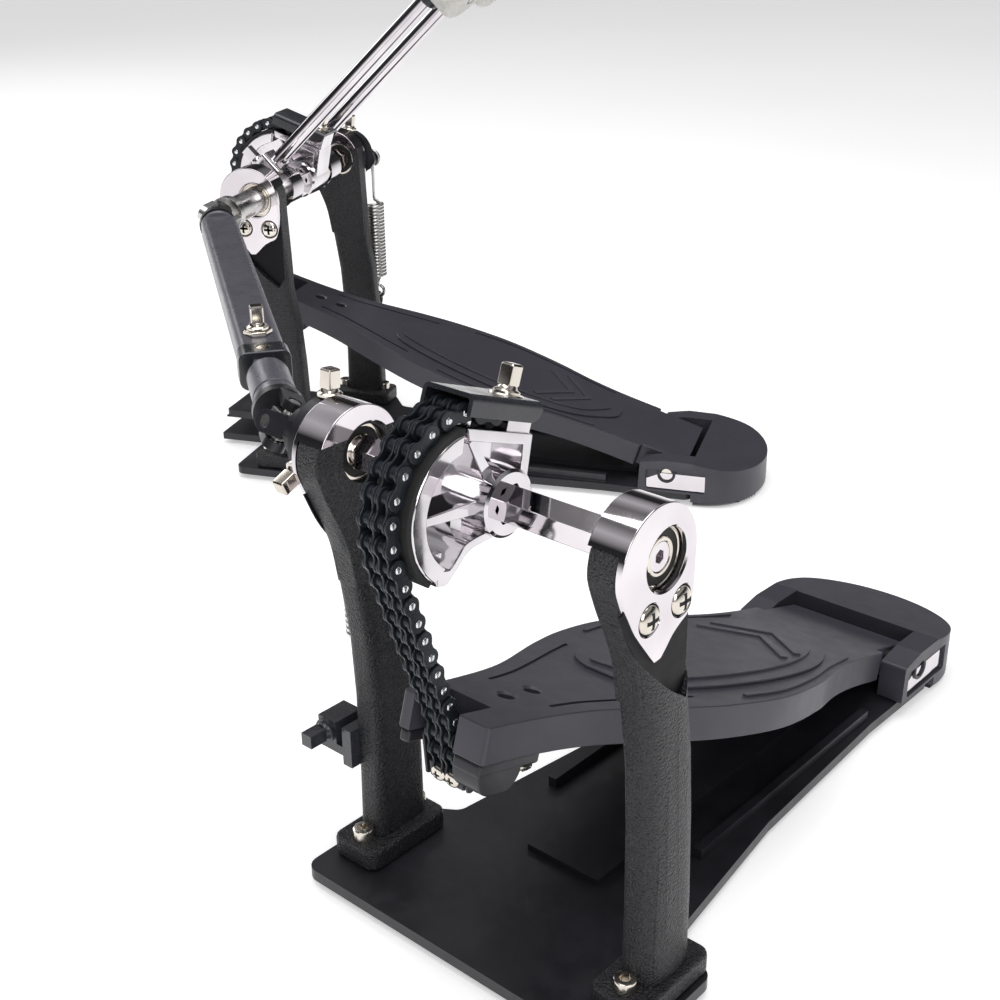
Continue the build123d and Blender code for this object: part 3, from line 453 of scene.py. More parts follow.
def smooth_line(points, steps=8, closed=False):
    """Catmull-Rom curve through points."""
    count = len(points)
    result = []
    spans = count if closed else count - 1
    for k in range(spans):
        if closed:
            p = [points[(k + j - 1) % count] for j in range(4)]
        else:
            p = [points[min(max(k + j - 1, 0), count - 1)] for j in range(4)]
        for s in range(steps):
            t = s / steps
            point = []
            for axis in range(len(points[0])):
                a, b, c, d = (q[axis] for q in p)
                point.append(0.5 * (2 * b + (c - a) * t + (2 * a - 5 * b + 4 * c - d) * t * t
                                    + (3 * b - a - 3 * c + d) * t ** 3))
            result.append(tuple(point))
    if not closed:
        result.append(tuple(points[-1]))
    return result


def polar(angle, radius):
    return radius * cos(radians(angle)), radius * sin(radians(angle))


def lift(points):
    return [(y, H + z) for y, z in points]


def arc(centre, radius, start, end, steps=24):
    return [(centre[0] + radius * cos(radians(start + (end - start) * k / steps)),
             centre[1] + radius * sin(radians(start + (end - start) * k / steps)))
            for k in range(steps + 1)]


def cross_recess(seat, toward, size, depth):
    """Tapered Phillips recess: one tool for each slot."""
    axis = Vector(toward).normalized()
    u, v = side_axes(axis)
    seat = Vector(seat)
    parts = []
    for first, second in ((u, v), (v, u)):
        rings = []
        for t, long, wide in ((0.3, 1.0, 0.26), (-depth, 0.45, 0.15)):
            rings.append([seat + axis * t + first * (a * size * long) + second * (b * size * wide)
                          for a, b in ((-1, -1), (1, -1), (1, 1), (-1, 1))])
        parts.append(lofted(rings))
    return parts


def pan_screw(seat, toward, radius, height):
    """Domed head with a cross recess."""
    head = turned(seat, toward, [(-0.4, radius * 0.7), (0, radius * 0.96), (0.25, radius),
                                 (height * 0.45, radius * 0.93), (height * 0.75, radius * 0.74),
                                 (height * 0.95, radius * 0.42), (height, 0)], 40)
    top = Vector(seat) + Vector(toward).normalized() * height
    return cut(head, *cross_recess(top, toward, radius * 0.62, height * 0.75))


def slot_shade_fill(seat, toward, radius, height):
    """Dark piece set in the floor of a screw's cross recess: painted shade at the bottom of the recess."""
    axis = Vector(toward).normalized()
    return joined(*cross_recess(Vector(seat) + axis * (height - 0.55), toward, radius * 0.60, height * 0.5))


def key_bolt(seat, toward, length, shank=3.0):
    """Drum-key bolt: threaded shank, flange, neck and square head."""
    seat, axis = Vector(seat), Vector(toward).normalized()
    flange = turned(seat, axis, [(0, 4.4), (0.25, 4.75), (1.1, 4.75), (1.5, 4.3), (1.8, 3.6),
                                 (2.8, 3.2), (3.3, 2.6)], 40)
    head = bar(seat + axis * 2.6, axis, 7.9, 5.3, 4, pi / 4, 0.8)
    profile = [(-length, shank * 0.75)]
    for k in range(int((length - THREAD) / THREAD)):
        base = -length + 0.5 + k * THREAD
        profile += [(base, shank * 0.86), (base + THREAD / 2, shank)]
    profile += [(-0.1, shank * 0.9), (0.1, shank * 0.9)]
    return joined(flange, head, turned(seat, axis, profile, 28))


def ringed(start, toward, loop, segments=48):
    """Round piece with a hole: loop is a closed profile of (distance, radius)."""
    start, axis = Vector(start), Vector(toward).normalized()
    u, v = side_axes(axis)
    bm = bmesh.new()
    turns = [2 * pi * k / segments for k in range(segments)]
    rows = [[bm.verts.new(start + axis * t + (u * cos(a) + v * sin(a)) * r) for a in turns]
            for t, r in loop]
    for n, lower in enumerate(rows):
        upper = rows[(n + 1) % len(rows)]
        for k in range(segments):
            j = (k + 1) % segments
            bm.faces.new((lower[k], lower[j], upper[j], upper[k]))
    return ordered(bm)


def box_tool(x0, x1, y0, y1, z0, z1):
    return slab([(y0, z0), (y1, z0), (y1, z1), (y0, z1)], x0, x1)


def sided(out, low, high):
    """A span of x outboard along out, in rising order."""
    return min(out * low, out * high), max(out * low, out * high)


# ---------------------------------------------------------------- posts, caps, bearings
FOOT_Y = -9.0
BASE_TOP = 8.0
HEAD_FACE, HEAD_BACK = 70.5, 59.5
CAP_FACE, CAP_BACK = 72.8, 58.3
CAP_SCREW_Y, CAP_SCREW_Z = (8.5, -8.5), H - 17.5
HEAD_Y, HEAD_R, CAP_R, CAP_LOW = 4.0, 17.4, 19.65, 8.5
TAB_SCREW, ANCHOR, ANCHOR_LEAN = 28.5, 25.5, 8.0


def post_ring(out, z, half, depth, middle):
    """One level of the cast column: flat inboard, full and round outboard."""
    centre = HEAD_BACK + half
    ring = []
    for k in range(48):
        a = 2 * pi * k / 48
        c, s = cos(a), sin(a)
        power = 2 / (2.7 if c > 0 else 5.5)
        x = centre + half * (1 if c > 0 else -1) * abs(c) ** power
        y = middle + depth * (1 if s > 0 else -1) * abs(s) ** power
        ring.append((out * x, y, H + z))
    return ring


def on_head(radius, angle):
    return HEAD_Y + radius * cos(radians(angle)), radius * sin(radians(angle))


def head_outline(grow=0.0, drop=52.0):
    """Head in (y, z): stepped in under the cap's band, full size below it."""
    step = degrees(asin(CAP_LOW / CAP_R))
    inner_step = degrees(asin(CAP_LOW / HEAD_R))
    front = [on_head(CAP_R + grow, a) for a in (-6, 0, 6, 12, 18, step)]
    top = [on_head(HEAD_R + grow, inner_step + k * (180 - 2 * inner_step) / 28) for k in range(29)]
    back = [on_head(CAP_R + grow, 180 - a) for a in (step, 18, 12, 6, 0, -6)]
    rear = smooth_line([(-15.5, -3), (-15.7, -12), (-16.2, -24), (-16.6, -36), (-17.0, -drop)], 5)
    neck = smooth_line([(7.6, -drop), (10.4, -36), (14.4, -25), (18.9, -15), (22.2, -6.5), (23.3, -3)], 5)
    return lift(front + top + back + rear[1:] + neck[:-1])


def post(side, name, out):
    head = eased(slab(head_outline(), *sided(out, HEAD_BACK, HEAD_FACE)), 0.9, 3)
    levels = [(-170, 7.6, 13.6, -11.2), (-140, 7.5, 13.2, -11.4), (-105, 7.3, 12.8, -10.6),
              (-78, 7.2, 12.5, -8.9), (-56, 7.2, 12.3, -5.6), (-38, 7.1, 13.5, -3.5),
              (-18, 6.6, 16.8, 0.9)]
    column = lofted([post_ring(out, *level) for level in levels])
    recess = smooth_line([(26, -2), (21.6, -12), (15.6, -25), (8.6, -35), (-1.5, -46), (-12.6, -54.5)], 6)
    recess += smooth_line([(-12.6, -54.5), (-17.4, -44), (-20.0, -26), (-24, -2)], 6)[1:]
    column = cut(column, slab(lift(recess), *sided(out, HEAD_FACE + 0.02, 80)))
    eased(column, 0.7, 3, 40)
    hole = turned((out * 50, 0, H), (out, 0, 0), [(0, 11.05), (40, 11.05)], 64)
    body = boolean(head, column, "UNION")
    body = cut(body, hole)
    foot = [(out * POST_X + x, FOOT_Y + y) for x, y in
            arc((7, 17), 5, 0, 90, 6) + arc((-7, 17), 5, 90, 180, 6)
            + arc((-7, -17), 5, 180, 270, 6) + arc((7, -17), 5, 270, 360, 6)]
    foot = eased(slab(foot, BASE_TOP + 0.02, BASE_TOP + 9, "z"), 1.6, 3)
    bore = [(0, 2.6), (13.9, 2.6), (14, 4.7), (24, 4.7)]
    wells = [turned((out * POST_X, FOOT_Y + y, BASE_TOP - 5), (0, 0, 1), bore, 32) for y in (-15, 15)]
    foot = cut(foot, *wells)
    finished(name + "_cast", joined(body, foot), PLACE[side], "casting", ROOT[side], (name,), crease=34)
    inset = lift([(max(y * 0.985, -15.6), z) for y, z in recess[6:-4]] + [(-14.4, -12), (17.5, -12)])
    panel = slab(inset, *sided(out, HEAD_FACE - 0.5, HEAD_FACE + 0.08))
    finished(name + "_recess", panel, PLACE[side], "recess", ROOT[side])


def shield_outline():
    top = [on_head(CAP_R, a) for a in range(-8, 189, 4)]
    rear = smooth_line([(-15.4, -5), (-15.2, -11), (-14.6, -18), (-12.4, -23.2), (-8.0, -25.6),
                        (-4.2, -28.0), (-0.6, -31.6), (2.0, -33.9)], 5)
    front = smooth_line([(5.2, -34.1), (9.6, -28.4), (15.4, -20.4), (20.2, -11.2), (23.0, -4.5)], 5)
    return lift(top + rear + front)


def caps(side):
    parts = []
    for out in (-1, 1):
        hood = eased(slab(shield_outline(), *sided(out, CAP_BACK, CAP_FACE)), 2.3, 5)
        below = box_tool(*sided(out, 50, HEAD_FACE + 0.12), -30, 30, H - 60, H + CAP_LOW)
        hollow = slab(head_outline(0.05, 70), *sided(out, HEAD_BACK - 0.02, HEAD_FACE + 0.1))
        lip = turned((out * 50, 0, H), (out, 0, 0), [(0, 13.6), (7.6, 13.6), (8.7, 12.2), (14, 12.2)], 64)
        mouth = turned((out * 69, 0, H), (out, 0, 0), [(0, 10.5), (3.2, 10.5), (4.4, 11.9)], 64)
        wells = [turned((out * (CAP_FACE - 1.1), y, CAP_SCREW_Z), (out, 0, 0),
                        [(0, 5.5), (0.7, 5.5), (1.6, 6.3)], 40) for y in CAP_SCREW_Y]
        hood = cut(hood, below, hollow)
        hood = cut(hood, lip)
        hood = cut(hood, mouth, *wells)
        parts.append(hood)
    finished(side + "_caps_polished", joined(*parts), PLACE[side], "chrome", ROOT[side],
             (side + "_post_caps",), crease=30)
    # Dark rings on the floors of the cap screws' wells, round the screw heads: painted shade in the wells.
    rings = []
    for out in (-1, 1):
        for y in CAP_SCREW_Y:
            rings.append(ringed((out * (CAP_FACE - 1.1), y, CAP_SCREW_Z), (out, 0, 0),
                                [(0.02, 5.45), (0.02, 3.0), (0.16, 3.0), (0.16, 5.45)], 40))
    finished(side + "_screw_well_shade", joined(*rings), PLACE[side], "recess", ROOT[side])


def fasteners(side):
    parts, slots = [], []
    for out in (-1, 1):
        for y in CAP_SCREW_Y:
            seat = (out * (CAP_FACE - 0.75), y, CAP_SCREW_Z)
            parts.append(pan_screw(seat, (out, 0, 0), 4.9, 2.3))
            slots.append(slot_shade_fill(seat, (out, 0, 0), 4.9, 2.3))
        for y in (FOOT_Y - 15, FOOT_Y + 15):
            seat = (out * POST_X, y, BASE_TOP + 9.1)
            head = turned(seat, (0, 0, 1), [(0, 4.4), (4.0, 4.4), (4.6, 4.1), (4.9, 3.5)], 36)
            head = cut(head, bar((seat[0], seat[1], seat[2] + 2.2), (0, 0, 1), 5, 4.0, 6, 0, 0.1))
            parts.append(head)
    reach = 44.2
    pin = [(0, 3.3), (0.7, 4.0), (2 * reach - 0.7, 4.0), (2 * reach, 3.3)]
    parts.append(turned((-reach, *HINGE), (1, 0, 0), pin, 40))
    finished(side + "_fasteners_bright", joined(*parts), PLACE[side], "nickel", ROOT[side],
             (side + "_frame_fasteners",), crease=30)
    # painted shade: dark fills at the bottom of the cap and foot screws' cross recesses
    finished(side + "_screw_slot_shade", joined(*slots), PLACE[side], "recess", ROOT[side])


def bearings(side):
    steel, seals = [], []
    for out in (-1, 1):
        bore = 8.0 if (side, out) == ("right", -1) else 5.0
        inner = bore + 1.6
        start, axis = (out * 62, 0, H), (out, 0, 0)
        for r0, r1 in ((9.3, 10.98), (bore + 0.04, inner)):
            race = [(0.3, r0), (0, r0 + 0.3), (0, r1 - 0.3), (0.3, r1),
                    (7.7, r1), (8, r1 - 0.3), (8, r0 + 0.3), (7.7, r0)]
            steel.append(ringed(start, axis, race, 56))
        seal = [(0.7, inner - 0.02), (0.5, inner + 0.5), (0.5, 8.9), (0.7, 9.32),
                (7.3, 9.32), (7.5, 8.9), (7.5, inner + 0.5), (7.3, inner - 0.02)]
        seals.append(ringed(start, axis, seal, 56))
    finished(side + "_bearing_races", joined(*steel), PLACE[side], "nickel", ROOT[side],
             (side + "_bearings",), crease=30)
    finished(side + "_bearing_seals", joined(*seals), PLACE[side], "rubber", ROOT[side])


# ---------------------------------------------------------------- base, heel and footboard
def heel(side):
    skin(side + "_heel_plate", ROOT[side], "board", 1.1, 3)
    windows, feet, rims = [], [], []
    for sign in (-1, 1):
        x0, x1 = sided(sign, 44.42, 44.7)
        y, z = HINGE
        windows.append(slab([(y - 24.6, 9.8), (y - 24.6, z + 0.4), (y + 3, z + 0.4), (y + 12.6, z - 4),
                             (y + 12.6, 9.8)], x0, x1))
        rims.append(ringed((sign * 44.5, *HINGE), (sign, 0, 0),
                           [(0, 4.1), (0.9, 4.1), (1.2, 4.5), (1.2, 5.4), (0.9, 5.8), (0, 5.8)], 40))
    finished(side + "_heel_windows", joined(*windows), PLACE[side], "chrome", ROOT[side])
    finished(side + "_heel_pin_rims", joined(*rims), PLACE[side], "base", ROOT[side])
    for k in range(29):
        y = HINGE[0] - 18 - k * 1.25
        half = 44.0 * sqrt(1 - (max(HINGE[0] - 19 - y, 0) / 37.0) ** 2)
        feet.append(slab([(y, 0.1), (y + 0.7, 0.1), (y + 0.7, 2.9), (y, 2.9)], -half, half))
    finished(side + "_heel_ribs", joined(*feet), PLACE[side], "rubber", ROOT[side])


TOE = (24.0, 114.0)
BOARD_UP, BOARD_T = 7.0, 14.0
reach = hypot(TOE[1] - HINGE[1], TOE[0] - HINGE[0])
board_tilt = atan2(TOE[1] - HINGE[1], TOE[0] - HINGE[0]) - asin(BOARD_UP / reach)
board_length = sqrt(reach ** 2 - BOARD_UP ** 2)
BOARD = Matrix.Translation((0, *HINGE)) @ Matrix.Rotation(board_tilt, 4, "X")
EDGE = [(20, board_length), (21, 268), (25.5, 238), (38, 201), (45.5, 172), (49, 138), (45, 102),
        (38.5, 74), (35.5, 50), (35, 22)]


def mirrored(points):
    """Closed outline from a right-hand half that runs from front to back."""
    return list(points) + [(-x, y) for x, y in reversed(points)]


def leaf(grow):
    """Outline of the raised panel on the board, grown or shrunk square to its edge."""
    half = smooth_line([(8.5 + grow * 0.7, 204 + grow), (20 + grow, 196), (28.5 + grow, 172),
                        (33.5 + grow, 145), (35.5 + grow, 118), (34.0 + grow, 92), (27.0 + grow, 68),
                        (13.0 + grow, 50 - grow * 0.6), (5.0 + grow * 0.6, 44 - grow)], 6)
    return mirrored(half)


def footboard(side):
    half = smooth_line(EDGE, 6)
    half = [(19.0, board_length), (19.95, board_length - 0.6), (20.2, board_length - 1.8)] + half[3:-1]
    half += [(35, 23), (34.3, 22), (31, 22), (31, -8), (30, -9)]
    body = eased(slab(mirrored(half), BOARD_UP - BOARD_T, BOARD_UP, "z"), 1.2, 3)
    tools = [box_tool(CAM_X - 10.5, CAM_X + 10.5, board_length - 17, board_length + 9, -20, 20)]
    for y in (board_length - 33, board_length - 48):
        tools.append(turned((0, y, -20), (0, 0, 1), [(0, 3.3), (26.1, 3.3), (27.1, 4.3), (30, 4.3)], 40))
    tools.append(turned((-60, 0, 0), (1, 0, 0), [(0, 4.05), (120, 4.05)], 40))
    for number in range(5):
        y0 = 38 + number * 38
        y1 = min(y0 + 34, 224)
        for sign in (-1, 1):
            x0, x1 = (max(x for x, y in half if abs(y - e) < 12) - 6 for e in (y0, y1))
            cell = [(sign * 2, y0), (sign * x0, y0), (sign * x1, y1), (sign * 2, y1)]
            tools.append(slab(cell, -12, 4, "z"))
    body = cut(body, *tools)
    grooves = []
    for sign in (-1, 1):
        line = smooth_line([(14.5, 256), (16.5, 240), (21.5, 221), (27.5, 201), (31.5, 186)], 5)
        left = [(sign * (x + 0.9), y) for x, y in line]
        right = [(sign * (x - 0.9), y) for x, y in reversed(line)]
        grooves.append(slab(left + right, BOARD_UP - 0.9, BOARD_UP + 3, "z"))
    body = cut(body, *grooves)
    finished(side + "_footboard_cast", body, PLACE[side] @ BOARD, "board", side + "_footboard",
             (side + "_footboard",), crease=30)
    raised = []
    for grow, top in ((0, 1.3), (-7.5, 2.3)):
        raised.append(eased(slab(leaf(grow), BOARD_UP - 0.2, BOARD_UP + top, "z"), 0.45, 3))
    for y in (88, 76):
        chevron = [(-24, y + 10), (-22, y + 13), (0, y - 6), (22, y + 13), (24, y + 10), (0, y - 10.5)]
        raised.append(eased(slab(chevron, BOARD_UP + 2.0, BOARD_UP + 3.1, "z"), 0.25, 2))
    for sign in (-1, 1):
        rib = smooth_line([(40.5, 162), (43.6, 138), (41.0, 108), (35.2, 80), (31.5, 55)], 5)
        outer = [(sign * (x + 1.0), y) for x, y in rib]
        inner = [(sign * (x - 1.0), y) for x, y in reversed(rib)]
        raised.append(eased(slab(outer + inner, BOARD_UP - 0.2, BOARD_UP + 0.9, "z"), 0.3, 2))
    finished(side + "_board_relief", joined(*raised), PLACE[side] @ BOARD, "board",
             side + "_footboard", crease=30)


def toe(side):
    """Block under the toe, slotted for the chain."""
    low, end = BOARD_UP - BOARD_T, board_length
    slot = box_tool(CAM_X - 10.4, CAM_X + 10.4, end - 24, end + 9, low - 30, low + 2)
    parts = [eased(cut(box_tool(-19, 19, end - 34, end - 0.5, low - 5, low - 0.02), slot), 1.2, 3)]
    cheek = smooth_line([(end - 24, low - 2), (end - 24, low - 7), (end - 20, low - 12.2),
                         (end - 14, low - 13), (end - 7, low - 12.6), (end - 2.4, low - 9),
                         (end - 0.7, low - 2)], 5)
    parts.append(eased(slab(cheek, -18.9, CAM_X - 10.4), 0.9, 3))
    finished(side + "_toe_block", joined(*parts), PLACE[side] @ BOARD, "base", side + "_footboard",
             (side + "_toe_bracket",), crease=30)
    screws = []
    for x in (-15.2, 15.2):
        screws.append(pan_screw((x, end - TAB_SCREW, low - 5.1), (0, 0, -1), 4.2, 2.6))
        screws.append(turned((x, end - TAB_SCREW, low - 8), (0, 0, 1), [(0, 2), (8, 2)], 24))
    finished(side + "_tab_screws", joined(*screws), PLACE[side] @ BOARD, "nickel",
             side + "_footboard", (side + "_toe_screws",), crease=30)


# ---------------------------------------------------------------- cam, clamp, bolts
CHAIN_STEP = degrees(2 * asin(PITCH / 2 / CHAIN_R))
WRAPPED, HANGING = 8, 9
FIRST_ANGLE = WRAPPED * CHAIN_STEP - CHAIN_LEAN


def on_curve(angle, radius):
    y, z = polar(angle, radius)
    return y + CAM_CENTRE[0], z + CAM_CENTRE[1]


first_y, first_z = on_curve(FIRST_ANGLE, CHAIN_R)
fall = radians(CLAMP_FALL)
CLAMP = Matrix(((1, 0, 0, CAM_X),
                (0, -cos(fall), -sin(fall), first_y),
                (0, -sin(fall), cos(fall), H + first_z),
                (0, 0, 0, 1)))
CAM_RIM = 26.9
CAM_HALF = 9.5


def clamp_point(back, up):
    return (first_y - back * cos(fall) - up * sin(fall), first_z - back * sin(fall) + up * cos(fall))


def rim_reach(angle):
    """Distance from the axle to the cam's rim along an angle."""
    cy, cz = CAM_CENTRE
    along = cy * cos(radians(angle)) + cz * sin(radians(angle))
    return along + sqrt(CAM_RIM ** 2 - (cy ** 2 + cz ** 2 - along ** 2))


def cam(side):
    """Die-cast cam: rim, sloping deck for the clamp, back edge, two webs, hub and a thin floor."""
    place = PLACE[side] @ CAM_SHIFT
    top = clamp_point(-2.0, -4.6)
    top_front = degrees(atan2(top[1] - CAM_CENTRE[1], top[0] - CAM_CENTRE[0]))
    rim_out = arc(CAM_CENTRE, CAM_RIM, -50, top_front, 36)
    rim_in = arc((CAM_CENTRE[0] - 0.8, CAM_CENTRE[1]), CAM_RIM - 6.2, top_front - 6, -54, 36)
    rim = eased(slab(lift(rim_out + rim_in), -CAM_HALF, CAM_HALF), 0.9, 3)
    deck = [clamp_point(-1.0, -4.3), clamp_point(33, -4.3), clamp_point(33, -8.2), clamp_point(1, -8.6)]
    deck = eased(slab(lift(deck), -CAM_HALF, CAM_HALF), 0.6, 2)
    back = [clamp_point(33, -4.3), (-12.4, 1.2), (-8.8, 2.6), clamp_point(28.6, -5)]
    back = eased(slab(lift(back), -CAM_HALF, CAM_HALF), 0.6, 2)
    floor = rim_out[1:-1] + [clamp_point(0, -6), clamp_point(32, -6), (-11.5, 2), (-9, -8.6), (4, -11.8),
                             (16.4, -12.2), (21.0, -16.0), (27.0, -20.0)]
    floor = slab(lift(floor), -2.4, 2.4)
    shade = [polar(-2, 36.0), polar(-22, 31.5), polar(-36, 20.5), polar(-30, 14.5), polar(0, 15.5)]
    floor = cut(floor, slab(lift(smooth_line(shade, 5, True)), -6, 6))
    lower = smooth_line([(-8, -8.8), (2, -11.4), (10, -11.8), (16.2, -12.4), (21.6, -16.2),
                         (27.4, -20.4), (32.4, -19.4)], 5)
    inner = smooth_line([(31.4, -13.2), (26.4, -15.6), (21.6, -12.4), (17.8, -9.4), (10, -8.6),
                         (2, -8.4), (-6, -6)], 5)
    under = eased(slab(lift(lower + inner), -CAM_HALF, CAM_HALF), 0.5, 2)
    hub = turned((-13, 0, H), (1, 0, 0), [(0, 10.9), (0.8, 12.0), (6, 12.5), (20, 12.5), (25.2, 12.0),
                                          (26, 10.9)], 56)
    parts = [rim, deck, back, floor, under]
    for angle in (62, 7):
        y0, z0 = polar(angle, 9)
        y1, z1 = polar(angle, rim_reach(angle) - 4)
        sy, sz = polar(angle + 90, 1.5)
        web = [(y0 - sy * 1.7, z0 - sz * 1.7), (y1 - sy, z1 - sz), (y1 + sy, z1 + sz),
               (y0 + sy * 1.7, z0 + sz * 1.7)]
        parts.append(eased(slab(lift(web), -CAM_HALF + 0.8, CAM_HALF - 0.8), 0.5, 2))
    seat = [clamp_point(20.5, -5), clamp_point(33, -5), clamp_point(33, 4.5), clamp_point(20.5, 4.5)]
    parts.append(eased(slab(lift(seat), -8.0, 8.0), 0.6, 2))
    bore = bar((-30, 0, H), (1, 0, 0), 60, 12.9, 6, 0, 0.01)
    clear = turned((-30, 0, H), (1, 0, 0), [(0, 9.4), (60, 9.4)], 40)
    whole = boolean(joined(*parts), clear, crossing=True)
    finished(side + "_cam_cast", joined(whole, cut(hub, bore)), place, "cast_chrome",
             side + "_axle", (side + "_cam",), crease=30)
    liner = arc(CAM_CENTRE, CAM_RIM + 1.9, -46, top_front + 1, 40)
    liner += arc(CAM_CENTRE, CAM_RIM + 0.02, top_front + 1, -46, 40)
    finished(side + "_cam_liner", eased(slab(lift(liner), -CAM_HALF + 0.2, CAM_HALF - 0.2), 0.4, 2),
             place, "rubber", side + "_axle")


def clamp(side):
    """Folded strip over the chain's end, with rounded folds and a rounded rear corner."""
    outer = arc((-8.4, 4.1), 2.6, 180, 90, 6) + arc((8.4, 4.1), 2.6, 90, 0, 6)
    inner = arc((8.4, 4.1), 1.0, 0, 90, 4) + arc((-8.4, 4.1), 1.0, 90, 180, 4)
    section = [(-11, -0.5)] + outer + [(11, -0.5), (9.4, -0.5)] + inner + [(-9.4, -0.5)]
    body = slab(section, -3, 33.5, "y")
    corner = [(33.6, -0.6), (28.0, -0.6)] + [(28.5 + 5.0 * sin(radians(a)), 4.5 - 5.0 * cos(radians(a)))
                                              for a in range(0, 91, 15)] + [(33.6, 4.6)]
    body = cut(body, slab(corner, -12, 12))
    finished(side + "_clamp_folded", eased(body, 0.35, 2), PLACE[side] @ CLAMP, "fold", side + "_axle",
             (side + "_chain_clamp",), crease=30)


def lever_bolt(angle):
    y, z = polar(angle, 17.0)
    return key_bolt((SPRING_X - 4.9, y, H + z), (0, y, z), 10.5)


BEATER_X = {"right": 29.0, "left": -33.0}
lean = radians(46)
rod_dir = Vector((0, -sin(lean), cos(lean)))
strike_dir = Vector((0, cos(lean), sin(lean)))


def bolts(side):
    y, z = clamp_point(26, 6.75)
    up = (0, -sin(fall), cos(fall))
    parts = [key_bolt((CAM_X, y, H + z), up, 13), lever_bolt(96), lever_bolt(-24),
             turned((CAM_X + 11, -7, H), (0, -1, 0), [(0, 2.5), (5, 2.5)], 24)]
    if side == "right":
        parts.append(key_bolt(Vector((BEATER_X[side], 0, H)) + strike_dir * 21.2, strike_dir, 3.4))
    finished(side + "_key_bolts_bright", joined(*parts), PLACE[side], "nickel", side + "_axle",
             (side + "_key_bolts",), crease=30)
    washer = ringed((CAM_X, y, H + z), up, [(-0.04, 3.1), (0.3, 3.1), (0.3, 6.0), (-0.04, 6.2)], 36)
    finished(side + "_clamp_washer", washer, PLACE[side], "nickel", side + "_axle", crease=30)


# ---------------------------------------------------------------- chain
RUNS = (0, 4, 7, 9)


def chain_pins():
    pins = [clamp_point(PITCH * k, 0) for k in (2, 1)]
    pins += [on_curve(FIRST_ANGLE - k * CHAIN_STEP, CHAIN_R) for k in range(WRAPPED + 1)]
    y, z = pins[-1]
    down_y, down_z = polar(-90 - CHAIN_LEAN, PITCH)
    return pins + [(y + k * down_y, z + k * down_z) for k in range(1, HANGING + 1)]


def plate_outline(a, b, half, waist):
    """Waisted plate between two pins."""
    length = hypot(b[0] - a[0], b[1] - a[1])
    turn = atan2(b[1] - a[1], b[0] - a[0])
    local = [(length + half * cos(radians(t)), half * sin(radians(t))) for t in range(-110, 111, 20)]
    local += [(length * 0.5 + 0.9, waist), (length * 0.5 - 0.9, waist)]
    local += [(half * cos(radians(t)), half * sin(radians(t))) for t in range(70, 291, 20)]
    local += [(length * 0.5 - 0.9, -waist), (length * 0.5 + 0.9, -waist)]
    return [(a[0] + u * cos(turn) - v * sin(turn), H + a[1] + u * sin(turn) + v * cos(turn))
            for u, v in local]


def link_plates(a, b, outer):
    outline = plate_outline(a, b, 3.4 if outer else 3.5, 2.35 if outer else 2.5)
    places = (-6.3, 0.0, 6.3) if outer else (-5.2, -1.1, 1.1, 5.2)
    return [eased(slab(outline, x - 0.44, x + 0.44), 0.16, 1, 32, False) for x in places]


def rollers(y, z):
    profile = [(0, 2.2), (0.2, 2.5), (1.35, 2.5), (1.45, 2.38), (1.67, 2.38), (1.77, 2.5), (2.92, 2.5),
               (3.12, 2.2)]
    return [turned((x0, y, H + z), (1, 0, 0), profile, 18) for x0 in (-4.72, 1.6)]


def rivet_heads(y, z):
    profile = [(-0.3, 1.35), (0.1, 1.4), (0.35, 1.2), (0.46, 0.7), (0.40, 0)]
    return [turned((sign * 6.7, y, H + z), (sign, 0, 0), profile, 18) for sign in (-1, 1)]


def pin_rod(y, z):
    return turned((-6.8, y, H + z), (1, 0, 0), [(0, 1.1), (13.6, 1.1)], 12)


def chain(side):
    place = PLACE[side] @ CAM_SHIFT
    pins = chain_pins()
    stops = RUNS[1:] + (len(pins) - 1,)
    for number, (first, last) in enumerate(zip(RUNS, stops), start=1):
        links, rivets = [], []
        for k in range(first, last):
            links += link_plates(pins[k], pins[k + 1], k % 2 == 0)
        for k in range(first, last + 1):
            shared = (k == first and k > 0) or (k == last and k < len(pins) - 1)
            own_link = first if k == first else last - 1
            inner_end = shared and own_link % 2 == 1
            if inner_end or not shared:
                links += rollers(*pins[k])
            if not inner_end:
                rivets += rivet_heads(*pins[k])
                links.append(pin_rod(*pins[k]))
        body = side + ("_axle" if number == 1 else "_chain_run_%d" % number)
        finished("%s_chain_links_%d" % (side, number), joined(*links), place, "chain", body,
                 ("%s_chain_run_%d" % (side, number),), crease=34)
        finished("%s_chain_rivets_%d" % (side, number), joined(*rivets), place, "rivet", body, crease=40)


def on_anchor(down, forward):
    """Point in (y, z) from the axle, down along the chain below its last moving pin."""
    lean = radians(ANCHOR_LEAN)
    y, z = chain_pins()[-1]
    return (y - down * sin(lean) + forward * cos(lean), z - down * cos(lean) - forward * sin(lean))


